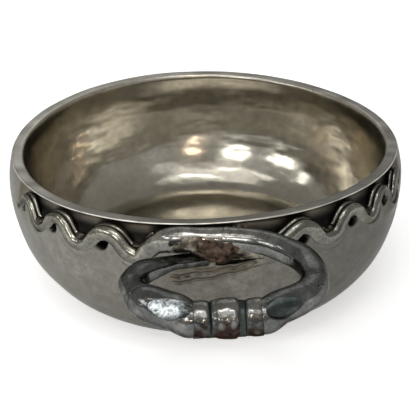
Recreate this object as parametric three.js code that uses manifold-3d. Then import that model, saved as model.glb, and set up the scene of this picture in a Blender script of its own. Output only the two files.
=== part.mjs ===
// A silver wine taster: a shallow raised bowl, a channel under its lip in which two serpents ripple,
// and a finger ring in front that the serpents make by crossing over and meeting at a turned knop.
// Millimetres, +Z up, standing on z = 0, with the ring towards -Y.

import * as THREE from "three";
import { mergeVertices } from "three/addons/utils/BufferGeometryUtils.js";
import Module from "manifold-3d";

const wasm = await Module();
wasm.setup();

// Bowl
const BASE_RADIUS = 26.7; // flat disc that it stands on
const BELLY_RADIUS = 42;
const BELLY_HEIGHT = 23.6;
const RIM_RADIUS = 40.8;
const RIM_HEIGHT = 30.3;
const RIM_WIDTH = 2.5;
const WALL_THICKNESS = 2.5;
const FLOOR_THICKNESS = 2.2;
const LIP_ROUNDING = 0.5; // outer edge of the lip
const MOUTH_ROUNDING = 0.9; // inner edge of the lip

// Hand raising leaves the bowl a little oval, with its lip in a faint saddle
const OUT_OF_ROUND = 0.58;
const LONG_AXIS = degrees(-57.8);
const LIP_SADDLE = 0.66;
const SADDLE_AXIS = degrees(-72.4);

// Channel under the lip, ending beside the two tail tips
const CHANNEL_DEPTH = 1.4;
const CHANNEL_HEIGHT = 8.1; // from its foot to the top of the lip
const CHANNEL_FOOT = RIM_HEIGHT - CHANNEL_HEIGHT;
const CHANNEL_STEP = 0.5; // height of the ledge's edge
const CHANNEL_COVE = 2.2; // height of the hollow curve under the lip
const CHANNEL_PAST_TIP = degrees(6.5);
const CHANNEL_FADE = degrees(5);

// Serpents, as wire laid in waves
const CLEARANCE = 0.3;
const WIRE_HALF_WIDTH = 1.4; // across the wave, at the ring's end
const WIRE_HALF_DEPTH = 1.15; // out from the wall, at the ring's end
const TIP_HALF_WIDTH = 0.95;
const TIP_HALF_DEPTH = 0.6;
const WIRE_TAPER = 1.3; // how much of the thinning lies near the ring
const WAVE_TOP_ROOM = 1.6; // from the lip's height to the highest edge of the wire
const LEFT_WAVE = { firstTrough: degrees(19.2), period: degrees(17.6), shrink: 0.93, turns: 2.8 };
const RIGHT_WAVE = { firstTrough: degrees(12.6), period: degrees(17), shrink: 0.9, turns: 3.6 };
const CLIMB_MIDDLE = degrees(14.3); // where the left tail is half way up to the ring's level
const CLIMB_TOP = degrees(9.8); // where it has reached it
const UNDER_BEND = degrees(14.5); // where the right tail levels out to run under the ring

// Finger ring: an oval seen from above, tucked against the wall just under the lip
const RING_HALF_WIDTH = 14.7;
const RING_HALF_DEPTH = 12.75;
const RING_SKEW = 0.6; // the right side is bent forward by this and the left side back
const RING_REAR_RADIUS = 2.05;
const RING_SIDE_RADIUS = 2.35;
const HEAD_RADIUS = 2.9;
const NAPE_RADIUS = 2.7; // where a head meets its bead
const HEADS_FROM = degrees(112); // where the ring starts to flatten towards the heads
const HEADS_FULL = degrees(142);
const FRONT_TUCK = 1.05; // how far the heads lie behind a true oval
const SEAM_ANGLE = degrees(5); // joint in the ring's rear, right of its middle
const TAIL_UNDER = degrees(4.5); // where the right tail ends under the ring

// Arm of the right serpent, from the wall under the ring's rear out to the ring's left side
const UNDER_SETBACK = 2.18; // most that the backs of the wires under the ring lie behind its axis
const ARM_RADIUS = 1.3;
const ARM_START = degrees(-4);
// Its bends: shares of the ring's half width and half depth, and of the climb to the ring's level
const ARM_BENDS = [
  { left: 0.51, forward: 0.23, up: 0.35 },
  { left: 0.67, forward: 0.4, up: 0.56 },
  { left: 0.88, forward: 0.68, up: 0.83 },
];
const ARM_JOIN = degrees(-95); // where it has become the round of the ring

// Knop at the front of the ring: a barrel between two beads, on tenons of the two heads
const BARREL_RADIUS = 3.1;
const BARREL_WIDTH = 3.4;
const GROOVE_RADIUS = 2.55;
const GROOVE_WIDTH = 0.9;
const BEAD_RADIUS = 2.85;
const BEAD_WIDTH = 2.1;
const TENON_RADIUS = 1.4;
const KNOP_INSET = 0.8; // of its straight axis behind the front of the oval
const KNOP_TURN = degrees(0.8); // of its axis, right end forward

// Oval hollow in the front of each head
const DISH_HALF_LENGTH = 3.1;
const DISH_HALF_HEIGHT = 1.6;
const DISH_DEPTH = 0.5;
const DISH_OFFSET = 8.5; // to the side of the middle of the knop
const DISH_TILT = degrees(34); // above the horizon

// Solder
const BLOB_FILL = 0.7; // share of the valley's width
const BLOB_HALF_HEIGHT = 0.5;
const BLOB_HALF_DEPTH = 0.5;
const CROSSING_HALF_DEPTH = 1.2;

// Mesh fineness
const BOWL_SEGMENTS = 90;
const ARC_STEPS = 8;
const WAVE_STEPS = 12; // for each wave
const TAIL_SIDES = 8;
const NECK_STEPS = 26;
const NECK_SIDES = 12;
const KNOP_SEGMENTS = 24;

const SILVER = { color: 0x9c968c, roughness: 0.28, metalness: 1.0 };
const DARK_SILVER = { color: 0x6f6d68, roughness: 0.3, metalness: 1.0 };
const SOLDER = { color: 0x6b5d4c, roughness: 0.6, metalness: 0.8 };

function degrees(angle) {
  return (angle * Math.PI) / 180;
}

// 0 below low, 1 above high, and a smooth step between
function ramp(low, high, value) {
  return THREE.MathUtils.smoothstep(value, low, high);
}

// Radius of the bowl's plain outer surface at a height
function outerRadius(z) {
  if (z < BELLY_HEIGHT) {
    const drop = 1 - Math.max(z, 0) / BELLY_HEIGHT;
    return BASE_RADIUS + (BELLY_RADIUS - BASE_RADIUS) * Math.sqrt(1 - drop * drop);
  }
  const rise = (z - BELLY_HEIGHT) / (RIM_HEIGHT - BELLY_HEIGHT);
  return BELLY_RADIUS - (BELLY_RADIUS - RIM_RADIUS) * rise * rise;
}

// How far round from the ring a wave has come after some turns, to either side
function waveAngle(wave, turns) {
  const spread = (1 - wave.shrink ** turns) / (1 - wave.shrink);
  return wave.firstTrough + wave.period * spread;
}

const LEFT_END = waveAngle(LEFT_WAVE, LEFT_WAVE.turns);
const RIGHT_END = waveAngle(RIGHT_WAVE, RIGHT_WAVE.turns);

// Depth of the channel; side is the angle round from the ring, positive to the right
function channelDepth(z, side) {
  const foot = ramp(CHANNEL_FOOT, CHANNEL_FOOT + CHANNEL_STEP, z);
  const lip = RIM_HEIGHT - LIP_ROUNDING;
  const cove = 1 - ramp(lip - CHANNEL_COVE, lip, z);
  const end = side < 0 ? LEFT_END : RIGHT_END;
  const last = end + CHANNEL_PAST_TIP;
  const along = 1 - ramp(last - CHANNEL_FADE, last, Math.abs(side));
  return CHANNEL_DEPTH * foot * cove * along;
}

function wallRadius(z, side) {
  return outerRadius(z) - channelDepth(z, side);
}

// A point given by its radius from the bowl's axis, its angle round from the ring and its height
function polar(radius, side, z) {
  return new THREE.Vector3(radius * Math.sin(side), -radius * Math.cos(side), z);
}

// Moves a point of the true round bowl to where the hand-raised bowl has it
function handRaised(point) {
  const radius = Math.hypot(point.x, point.y);
  const azimuth = Math.atan2(point.y, point.x);
  const share = Math.min(radius / BELLY_RADIUS, 1);
  const outward = OUT_OF_ROUND * share * Math.cos(2 * (azimuth - LONG_AXIS));
  const lift = LIP_SADDLE * share * share * Math.cos(2 * (azimuth - SADDLE_AXIS));
  point.x += outward * Math.cos(azimuth);
  point.y += outward * Math.sin(azimuth);
  point.z += (lift * point.z) / RIM_HEIGHT;
  return point;
}

function handRaise(geometry) {
  const position = geometry.getAttribute("position");
  const point = new THREE.Vector3();
  for (let i = 0; i < position.count; i++) {
    handRaised(point.fromBufferAttribute(position, i));
    position.setXYZ(i, point.x, point.y, point.z);
  }
  return geometry;
}

// Bowl

function bowlProfile() {
  const points = [new THREE.Vector2(0, 0)];
  const footDrop = Math.acos(1 - Math.min(CHANNEL_FOOT / BELLY_HEIGHT, 1));
  for (let i = 0; i < ARC_STEPS; i++) {
    const z = BELLY_HEIGHT * (1 - Math.cos((footDrop * i) / ARC_STEPS));
    points.push(new THREE.Vector2(outerRadius(z), z));
  }
  const lip = RIM_HEIGHT - LIP_ROUNDING;
  const ledge = CHANNEL_FOOT + CHANNEL_STEP;
  const heights = [
    CHANNEL_FOOT,
    CHANNEL_FOOT + CHANNEL_STEP / 2,
    ledge,
    (ledge + lip - CHANNEL_COVE) / 2,
    lip - CHANNEL_COVE,
    lip - CHANNEL_COVE / 2,
    lip - CHANNEL_COVE / 4,
    lip,
  ];
  heights.forEach((z) => points.push(new THREE.Vector2(outerRadius(z), z)));
  const mouth = RIM_RADIUS - RIM_WIDTH;
  roundCorner(points, RIM_RADIUS - LIP_ROUNDING, lip, LIP_ROUNDING, 0);
  roundCorner(points, mouth + MOUTH_ROUNDING, RIM_HEIGHT - MOUTH_ROUNDING, MOUTH_ROUNDING, 90);
  const hollowRadius = BELLY_RADIUS - WALL_THICKNESS;
  const hollowHeight = BELLY_HEIGHT - FLOOR_THICKNESS;
  for (let i = ARC_STEPS; i >= 0; i--) {
    const turn = (i / ARC_STEPS) * (Math.PI / 2);
    const radius = BASE_RADIUS + (hollowRadius - BASE_RADIUS) * Math.sin(turn);
    points.push(new THREE.Vector2(radius, BELLY_HEIGHT - hollowHeight * Math.cos(turn)));
  }
  points.push(new THREE.Vector2(0, FLOOR_THICKNESS));
  return points;
}

// Adds a quarter round to a profile, starting at an angle in degrees
function roundCorner(points, centreX, centreZ, radius, startAngle) {
  for (const step of [30, 60, 90]) {
    const angle = degrees(startAngle + step);
    const x = centreX + radius * Math.cos(angle);
    points.push(new THREE.Vector2(x, centreZ + radius * Math.sin(angle)));
  }
}

function bowlGeometry() {
  const geometry = new THREE.LatheGeometry(bowlProfile(), BOWL_SEGMENTS);
  geometry.rotateX(Math.PI / 2);
  const position = geometry.getAttribute("position");
  for (let i = 0; i < position.count; i++) {
    const radius = Math.hypot(position.getX(i), position.getY(i));
    const z = position.getZ(i);
    if (radius > outerRadius(z) - CLEARANCE && z >= CHANNEL_FOOT) {
      const side = Math.atan2(position.getX(i), -position.getY(i));
      const share = wallRadius(z, side) / outerRadius(z);
      position.setX(i, position.getX(i) * share);
      position.setY(i, position.getY(i) * share);
    }
  }
  return handRaise(geometry);
}

// Serpents

// A closed tube whose section changes along it; each section is a ring of points
function loft(sections) {
  const sides = sections[0].length;
  const indices = [];
  for (let i = 0; i + 1 < sections.length; i++) {
    for (let j = 0; j < sides; j++) {
      const a = i * sides + j;
      const b = i * sides + ((j + 1) % sides);
      indices.push(a, b, b + sides, a, b + sides, a + sides);
    }
  }
  const last = (sections.length - 1) * sides;
  for (let j = 1; j + 1 < sides; j++) {
    indices.push(0, j + 1, j, last, last + j, last + j + 1);
  }
  const geometry = new THREE.BufferGeometry().setFromPoints(sections.flat());
  geometry.setIndex(indices);
  return geometry;
}

// One section of a tube, square to its direction, with half sizes along out and across it
function section(centre, direction, out, halfOut, halfAcross, sides) {
  const normal = out.clone().addScaledVector(direction, -out.dot(direction)).normalize();
  const across = new THREE.Vector3().crossVectors(direction, normal);
  const ring = [];
  for (let j = 0; j < sides; j++) {
    const angle = ((j + 0.5) / sides) * 2 * Math.PI;
    const point = centre.clone().addScaledVector(normal, halfOut * Math.cos(angle));
    ring.push(point.addScaledVector(across, halfAcross * Math.sin(angle)));
  }
  return ring;
}

// Radius at which a round bar at a height rests against the wall, with its clearance
function restRadius(z, side, barRadius) {
  const reach = barRadius + CLEARANCE;
  let radius = 0;
  const steps = 24;
  for (let i = 0; i <= steps; i++) {
    const height = Math.min(z + reach * ((2 * i) / steps - 1), RIM_HEIGHT);
    const standOff = Math.sqrt(Math.max(reach ** 2 - (height - z) ** 2, 0));
    radius = Math.max(radius, wallRadius(height, side) + standOff);
  }
  return radius;
}

function outFromAxis(point) {
  return new THREE.Vector3(point.x, point.y, 0).normalize();
}

// Half sizes of a tail's wire, from 0 at its tip to 1 at the ring's end
function tailSize(share) {
  const fullness = share ** WIRE_TAPER;
  return {
    depth: THREE.MathUtils.lerp(TIP_HALF_DEPTH, WIRE_HALF_DEPTH, fullness),
    width: THREE.MathUtils.lerp(TIP_HALF_WIDTH, WIRE_HALF_WIDTH, fullness),
  };
}

// Centre of the wire after some turns of its wave; sign is -1 on the left and 1 on the right
function wavePoint(wave, turns, sign) {
  const { depth, width } = tailSize(1 - turns / wave.turns);
  const low = CHANNEL_FOOT + CLEARANCE + width;
  const high = RIM_HEIGHT - WAVE_TOP_ROOM - WIRE_HALF_WIDTH;
  const z = low + (high - low) * (0.5 - 0.5 * Math.cos(2 * Math.PI * turns));
  const side = sign * waveAngle(wave, turns);
  return polar(wallRadius(z, side) + CLEARANCE + depth, side, z);
}

const RING_HEIGHT = RIM_HEIGHT - RING_REAR_RADIUS;
const RING_REAR_Y = -restRadius(RING_HEIGHT, 0, RING_REAR_RADIUS);

// Centre line of the ring; the angle runs from its rear over its right side to its front
function ringPoint(angle) {
  const oval = RING_REAR_Y - RING_HALF_DEPTH * (1 - Math.cos(angle)) - RING_SKEW * Math.sin(angle);
  const y = oval + FRONT_TUCK * ramp(HEADS_FROM, HEADS_FULL, Math.abs(angle));
  return new THREE.Vector3(RING_HALF_WIDTH * Math.sin(angle), y, RING_HEIGHT);
}

// Angle on the ring, from its front, of a point that lies so far to its side
function frontAngle(distance) {
  return Math.asin(distance / RING_HALF_WIDTH);
}

// Sections along a curve, with the half sizes that sizeAt gives for each share of its length
function curveSections(curve, steps, sides, outAt, sizeAt) {
  const sections = [];
  for (let i = 0; i <= steps; i++) {
    const share = i / steps;
    const centre = curve.getPointAt(share);
    const direction = curve.getTangentAt(share);
    const size = sizeAt(share);
    sections.push(section(centre, direction, outAt(centre), size.depth, size.width, sides));
  }
  return sections;
}

function wavePoints(wave, sign, fromTurn) {
  const points = [];
  const steps = Math.round((wave.turns - fromTurn) * WAVE_STEPS);
  for (let i = 0; i <= steps; i++) {
    const turns = wave.turns - ((wave.turns - fromTurn) * i) / steps;
    points.push(wavePoint(wave, turns, sign));
  }
  return points;
}

// Half of the seam's gap, as an angle on the ring
const SEAM_HALF_GAP = CLEARANCE / 2 / RING_HALF_WIDTH;

// The left tail ripples in from its tip, climbs to the lip and ends at the seam in the ring
function leftTailGeometry() {
  const points = wavePoints(LEFT_WAVE, -1, 0);
  const waveEnd = points.length - 1;
  const climb = THREE.MathUtils.lerp(points[waveEnd].z, RING_HEIGHT, 0.5);
  points.push(restPoint(-CLIMB_MIDDLE, climb, (WIRE_HALF_DEPTH + RING_REAR_RADIUS) / 2));
  points.push(restPoint(-CLIMB_TOP, RING_HEIGHT - CLEARANCE, RING_REAR_RADIUS));
  points.push(restPoint(-CLIMB_TOP / 2, RING_HEIGHT, RING_REAR_RADIUS));
  points.push(ringPoint(0), ringPoint(SEAM_ANGLE - SEAM_HALF_GAP));
  const curve = new THREE.CatmullRomCurve3(points, false, "centripetal");
  curve.arcLengthDivisions = 600;
  const swellFrom = curveShare(curve, waveEnd / (points.length - 1));
  const sizeAt = (share) => {
    const wire = tailSize(Math.min(share / swellFrom, 1));
    const swell = ramp(swellFrom, (1 + swellFrom) / 2, share);
    return {
      depth: THREE.MathUtils.lerp(wire.depth, RING_REAR_RADIUS, swell),
      width: THREE.MathUtils.lerp(wire.width, RING_REAR_RADIUS, swell),
    };
  };
  const steps = Math.round((LEFT_WAVE.turns + 1) * WAVE_STEPS);
  return handRaise(loft(curveSections(curve, steps, TAIL_SIDES, outFromAxis, sizeAt)));
}

function restPoint(side, z, barRadius) {
  return polar(restRadius(z, side, barRadius), side, z);
}

// Share of a curve's length that lies before a share of its control points
function curveShare(curve, t) {
  const lengths = curve.getLengths();
  return lengths[Math.round(t * (lengths.length - 1))] / lengths[lengths.length - 1];
}

// The right tail ripples in from its tip and runs under the ring along the channel
function rightTailGeometry() {
  const points = wavePoints(RIGHT_WAVE, 1, 0.5);
  for (const side of [UNDER_BEND, (UNDER_BEND + TAIL_UNDER) / 2, TAIL_UNDER]) {
    points.push(underPoint(side, WIRE_HALF_DEPTH));
  }
  const curve = new THREE.CatmullRomCurve3(points, false, "centripetal");
  curve.arcLengthDivisions = 600;
  const steps = Math.round((RIGHT_WAVE.turns + 1) * WAVE_STEPS);
  return handRaise(loft(curveSections(curve, steps, TAIL_SIDES, outFromAxis, tailSize)));
}

// Height of the right serpent where it passes under the ring's rear
const UNDER_HEIGHT = RING_HEIGHT - RING_REAR_RADIUS - CLEARANCE - WIRE_HALF_WIDTH;

// How far out the backs of the wires under the ring lie: on the wall, or out with the ring where the lip leads it away
function underBack(side) {
  return Math.max(wallRadius(UNDER_HEIGHT, side) + CLEARANCE, -RING_REAR_Y - UNDER_SETBACK);
}

function underPoint(side, halfDepth) {
  return polar(underBack(side) + halfDepth, side, UNDER_HEIGHT);
}

const LEVEL = new THREE.Vector3(0, 0, 1);

// Where a head ends and its tenon starts, from the middle of the knop
const KNOP_HALF = BARREL_WIDTH / 2 + GROOVE_WIDTH + CLEARANCE + BEAD_WIDTH + CLEARANCE;

// A point on the knop's straight axis, so far to the right of its middle
function knopPoint(distance) {
  const y = RING_REAR_Y - 2 * RING_HALF_DEPTH + KNOP_INSET - distance * Math.sin(KNOP_TURN);
  return new THREE.Vector3(distance * Math.cos(KNOP_TURN), y, RING_HEIGHT);
}

// A neck with its radius from radiusAt along the curve, and a tenon into the knop at its end;
// way is 1 for the head right of the knop and -1 for the head left of it
function neckGeometry(curve, radiusAt, way) {
  const sizeAt = (share) => ({ depth: radiusAt(share), width: radiusAt(share) });
  const sections = curveSections(curve, NECK_STEPS, NECK_SIDES, () => LEVEL, sizeAt);
  const inward = knopPoint(0).sub(knopPoint(way));
  const addSection = (distance, radius) => {
    const centre = knopPoint(way * distance);
    sections.push(section(centre, inward, LEVEL, radius, radius, NECK_SIDES));
  };
  sections.pop();
  addSection(KNOP_HALF, NAPE_RADIUS);
  addSection(KNOP_HALF, TENON_RADIUS);
  addSection(CLEARANCE / 2, TENON_RADIUS);
  return handRaise(cut(loft(sections), dishGeometry(way)));
}

// How much thicker than the ring's side a neck is: full at the head, a little less at its end
function headSwell(share) {
  const head = ramp(0.45, 0.68, share) * (HEAD_RADIUS - RING_SIDE_RADIUS);
  return head - ramp(0.86, 1, share) * (HEAD_RADIUS - NAPE_RADIUS);
}

// The last stretch of a neck: round the oval, then straight into the knop
function frontPoints(fromAngle, way) {
  const points = [];
  const to = way * (Math.PI - frontAngle(KNOP_HALF + 2 * KNOP_INSET + 1));
  const steps = 14;
  for (let i = 0; i <= steps; i++) {
    points.push(ringPoint(THREE.MathUtils.lerp(fromAngle, to, i / steps)));
  }
  points.push(knopPoint(way * KNOP_HALF));
  return points;
}

// The left serpent's neck: from the seam over the right side of the ring to its head
function leftNeckGeometry() {
  const curve = new THREE.CatmullRomCurve3(frontPoints(SEAM_ANGLE + SEAM_HALF_GAP, 1));
  const radiusAt = (share) => {
    const side = THREE.MathUtils.lerp(RING_REAR_RADIUS, RING_SIDE_RADIUS, ramp(0, 0.5, share));
    return side + headSwell(share);
  };
  return neckGeometry(curve, radiusAt, 1);
}

// The right serpent's neck: out from the wall as an arm, round the left of the ring to its head
function rightNeckGeometry() {
  const points = [underPoint(ARM_START, ARM_RADIUS)];
  ARM_BENDS.forEach(({ left, forward, up }) => {
    const y = RING_REAR_Y - forward * RING_HALF_DEPTH;
    const z = THREE.MathUtils.lerp(UNDER_HEIGHT, RING_HEIGHT, up);
    points.push(new THREE.Vector3(-left * RING_HALF_WIDTH, y, z));
  });
  points.push(...frontPoints(ARM_JOIN, -1));
  const curve = new THREE.CatmullRomCurve3(points, false, "centripetal");
  const radiusAt = (share) => {
    const side = THREE.MathUtils.lerp(ARM_RADIUS, RING_SIDE_RADIUS, ramp(0.25, 0.5, share));
    return side + headSwell(share);
  };
  return neckGeometry(curve, radiusAt, -1);
}

// The oval tool that hollows a head's front; way as in neckGeometry
function dishGeometry(way) {
  const angle = way * (Math.PI - frontAngle(DISH_OFFSET));
  const centre = ringPoint(angle);
  const tangent = ringPoint(angle + 0.001).sub(ringPoint(angle - 0.001)).normalize();
  const along = knopPoint(0).sub(knopPoint(1)).add(tangent).normalize();
  const level = new THREE.Vector3().crossVectors(along, LEVEL).normalize();
  if (level.y > 0) level.negate();
  const facing = level.multiplyScalar(Math.cos(DISH_TILT)).addScaledVector(LEVEL, Math.sin(DISH_TILT));
  const across = new THREE.Vector3().crossVectors(facing, along);
  const toolDepth = 2 * DISH_DEPTH;
  const geometry = new THREE.SphereGeometry(1, 20, 12);
  const grow = 1 / Math.sqrt(1 - (1 - DISH_DEPTH / toolDepth) ** 2);
  geometry.scale(DISH_HALF_LENGTH * grow, DISH_HALF_HEIGHT * grow, toolDepth);
  centre.addScaledVector(facing, HEAD_RADIUS + toolDepth - DISH_DEPTH - headFlat());
  geometry.applyMatrix4(new THREE.Matrix4().makeBasis(along, across, facing).setPosition(centre));
  return geometry;
}

// How far a flat as wide as the dish lies under the round of the head
function headFlat() {
  return HEAD_RADIUS - Math.sqrt(HEAD_RADIUS ** 2 - DISH_HALF_HEIGHT ** 2);
}

function solid(geometry) {
  const bare = geometry.clone();
  bare.deleteAttribute("normal");
  bare.deleteAttribute("uv");
  const merged = mergeVertices(bare, 1e-4);
  const vertProperties = new Float32Array(merged.getAttribute("position").array);
  const triVerts = new Uint32Array(merged.index.array);
  return new wasm.Manifold(new wasm.Mesh({ numProp: 3, vertProperties, triVerts }));
}

function cut(geometry, tool) {
  const mesh = solid(geometry).subtract(solid(tool)).getMesh();
  const result = new THREE.BufferGeometry();
  result.setAttribute("position", new THREE.BufferAttribute(mesh.vertProperties, 3));
  return result.setIndex(new THREE.BufferAttribute(mesh.triVerts, 1));
}

// Knop, each piece turned about its own axis and set square to the ring

function turned(points) {
  const profile = points.map(([radius, along]) => new THREE.Vector2(radius, along));
  profile.push(profile[0].clone());
  return new THREE.LatheGeometry(profile, KNOP_SEGMENTS);
}

const BORE_RADIUS = TENON_RADIUS + CLEARANCE;

function barrelGeometry() {
  const half = BARREL_WIDTH / 2;
  const end = half + GROOVE_WIDTH;
  const edge = 0.5;
  return turned([
    [BORE_RADIUS, -end],
    [GROOVE_RADIUS, -end],
    [GROOVE_RADIUS, -half],
    [BARREL_RADIUS - edge, -half],
    [BARREL_RADIUS, -half + edge],
    [BARREL_RADIUS, half - edge],
    [BARREL_RADIUS - edge, half],
    [GROOVE_RADIUS, half],
    [GROOVE_RADIUS, end],
    [BORE_RADIUS, end],
  ]);
}

function beadGeometry() {
  const half = BEAD_WIDTH / 2;
  const points = [[BORE_RADIUS, -half]];
  for (let i = 0; i <= 6; i++) {
    const turn = -Math.PI / 2 + (i / 6) * Math.PI;
    points.push([BEAD_RADIUS - half + half * Math.cos(turn), half * Math.sin(turn)]);
  }
  points.push([BORE_RADIUS, half]);
  return turned(points);
}

// Lays a turned piece on the knop's axis, so far to the right of its middle
function onAxis(object, distance) {
  object.position.copy(handRaised(knopPoint(distance)));
  object.rotation.z = -Math.PI / 2 - KNOP_TURN;
  return object;
}

// Solder

// A lump on the channel's floor between two angles, at a height, with its half height and depth
function lumpGeometry(fromSide, toSide, z, halfHeight, halfDepth) {
  const steps = 6;
  const sections = [];
  for (let i = 0; i <= steps; i++) {
    const side = THREE.MathUtils.lerp(fromSide, toSide, i / steps);
    const fullness = Math.sqrt(1.05 - ((2 * i) / steps - 1) ** 2);
    const centre = polar(wallRadius(z, side) + CLEARANCE + halfDepth, side, z);
    const direction = polar(1, side + Math.PI / 2, 0);
    const out = outFromAxis(centre);
    sections.push(section(centre, direction, out, halfDepth * fullness, halfHeight * fullness, 8));
  }
  return handRaise(loft(sections));
}

// The solder that fills the valley over a trough, after so many turns of a wave
function troughLump(wave, turns, sign) {
  const { width } = tailSize(1 - turns / wave.turns);
  const z = wavePoint(wave, turns, sign).z + width + CLEARANCE + BLOB_HALF_HEIGHT;
  const side = sign * waveAngle(wave, turns);
  const reach = BLOB_FILL * valleyAngle(wave, turns, z, width);
  return lumpGeometry(side - reach, side + reach, z, BLOB_HALF_HEIGHT, BLOB_HALF_DEPTH);
}

// Half the valley's free width at a height, as an angle round the bowl
function valleyAngle(wave, turns, z, width) {
  const low = wavePoint(wave, turns, 1).z;
  const high = wavePoint(wave, turns + 0.5, 1).z;
  const swing = Math.acos(1 - (2 * (z - low)) / (high - low));
  const flank = waveAngle(wave, turns + swing / (2 * Math.PI)) - waveAngle(wave, turns);
  const steepness = ((high - low) / 2) * Math.sin(swing) * ((2 * Math.PI) / wave.period);
  const slope = Math.atan(steepness / BELLY_RADIUS);
  return flank - (width / Math.sin(slope) + CLEARANCE) / BELLY_RADIUS;
}

// Assembly

function piece(name, geometry, finish) {
  const mesh = new THREE.Mesh(geometry, new THREE.MeshStandardMaterial(finish));
  mesh.name = name;
  return mesh;
}

function serpents() {
  const group = new THREE.Group();
  group.add(piece("left_serpent_tail", leftTailGeometry(), SILVER));
  group.add(piece("left_serpent_neck", leftNeckGeometry(), DARK_SILVER));
  group.add(piece("right_serpent_tail", rightTailGeometry(), SILVER));
  group.add(piece("right_serpent_neck", rightNeckGeometry(), DARK_SILVER));
  return group;
}

function knop() {
  const group = new THREE.Group();
  const beadPlace = KNOP_HALF - CLEARANCE - BEAD_WIDTH / 2;
  group.add(onAxis(piece("knop_barrel", barrelGeometry(), DARK_SILVER), 0));
  group.add(onAxis(piece("knop_left_bead", beadGeometry(), DARK_SILVER), -beadPlace));
  group.add(onAxis(piece("knop_right_bead", beadGeometry(), DARK_SILVER), beadPlace));
  return group;
}

function solderJoints() {
  const group = new THREE.Group();
  for (const turn of [0, 1, 2]) {
    group.add(piece("solder_left_trough_" + (turn + 1), troughLump(LEFT_WAVE, turn, -1), SOLDER));
  }
  for (const turn of [1, 2]) {
    group.add(piece("solder_right_trough_" + turn, troughLump(RIGHT_WAVE, turn, 1), SOLDER));
  }
  const from = ARM_START + degrees(2.2);
  const to = TAIL_UNDER - degrees(1.2);
  const offWall = underBack(0) - wallRadius(UNDER_HEIGHT, 0) - CLEARANCE;
  const crossing = lumpGeometry(from, to, UNDER_HEIGHT, WIRE_HALF_WIDTH, CROSSING_HALF_DEPTH + offWall / 2);
  group.add(piece("solder_crossing", crossing, SOLDER));
  return group;
}

const wineTaster = new THREE.Group();
wineTaster.add(piece("bowl", bowlGeometry(), SILVER), serpents(), knop(), solderJoints());

export default wineTaster;
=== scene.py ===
# Looks of a silver wine taster: a raised bowl, two serpents rippling in the channel under its lip,
# and the finger ring they make in front, meeting head to head at a turned knop.
# Sizes are in millimetres until a mesh is made. The ring points towards -Y, and +Z is up.
import math

import bmesh
import bpy
import numpy as np
from mathutils import Matrix, Vector


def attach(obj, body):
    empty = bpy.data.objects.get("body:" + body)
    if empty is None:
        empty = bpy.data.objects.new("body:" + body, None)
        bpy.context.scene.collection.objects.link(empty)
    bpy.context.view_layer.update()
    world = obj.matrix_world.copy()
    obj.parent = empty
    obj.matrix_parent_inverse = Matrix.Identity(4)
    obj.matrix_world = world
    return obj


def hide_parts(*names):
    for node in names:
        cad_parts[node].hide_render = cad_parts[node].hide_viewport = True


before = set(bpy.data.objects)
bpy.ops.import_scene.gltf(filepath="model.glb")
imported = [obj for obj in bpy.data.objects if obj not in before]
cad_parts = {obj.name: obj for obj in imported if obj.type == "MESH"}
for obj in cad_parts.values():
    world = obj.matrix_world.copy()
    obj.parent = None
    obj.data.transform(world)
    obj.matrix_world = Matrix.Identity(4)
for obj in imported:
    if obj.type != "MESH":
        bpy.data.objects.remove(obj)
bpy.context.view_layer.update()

MM = 0.001
DEG = math.pi / 180
TURN = 2 * math.pi

# Bowl
BASE_RADIUS = 26.7
BELLY_RADIUS = 42.0
BELLY_HEIGHT = 23.6
RIM_RADIUS = 40.8
RIM_HEIGHT = 30.3
RIM_WIDTH = 2.5
WALL_THICKNESS = 2.5
FLOOR_THICKNESS = 2.2
LIP_ROUNDING = 0.5
WORN_LIP_ROUNDING = 0.28
MOUTH_ROUNDING = 0.9
OUT_OF_ROUND = 0.58
LONG_AXIS = -57.8 * DEG
LIP_SADDLE = 0.66
SADDLE_AXIS = -72.4 * DEG

# Channel under the lip
CHANNEL_DEPTH = 1.4
CHANNEL_FOOT = 22.2
CHANNEL_STEP = 0.5
CHANNEL_COVE = 2.2
CHANNEL_PAST_TIP = 3.2 * DEG
CHANNEL_FADE = 3.5 * DEG
VALLEY_DEPTH = 1.9  # of the dark valleys between the waves
HOLE_FLOOR_NEAR = 23.9  # foot of the small hole under the first crest
HOLE_FLOOR_FAR = 24.9  # and under the last
HOLE_HALF_WIDTH = 1.4
LEFT_HOLES_PAST = 1.5 * DEG  # how far past their crests the left holes lie
HOLE_TOP = 25.8  # where the holes pass behind the wire
STRAND_HALF_DEPTH = 0.96  # of the strand behind the waves, which lies within the wall

# Serpents
CLEARANCE = 0.3
WIRE_HALF_WIDTH = 1.4
WIRE_HALF_DEPTH = 1.15
TIP_HALF_WIDTH = 0.95
TIP_HALF_DEPTH = 0.6
WIRE_TAPER = 1.3
WAVE_TOP_ROOM = 1.6
WAVE_ROUNDNESS = 0.3
WAVE_FULLNESS = 1.16  # the waves look this much fuller than the plain wire
LEFT_WAVE = {"first": 19.2 * DEG, "period": 17.6 * DEG, "shrink": 0.93, "turns": 2.8}
RIGHT_WAVE = {"first": 12.6 * DEG, "period": 17 * DEG, "shrink": 0.9, "turns": 3.6}
CLIMB_MIDDLE = 14.3 * DEG
CLIMB_TOP = 9.8 * DEG
UNDER_BEND = 14.5 * DEG
WAVE_STEPS = 12

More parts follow.
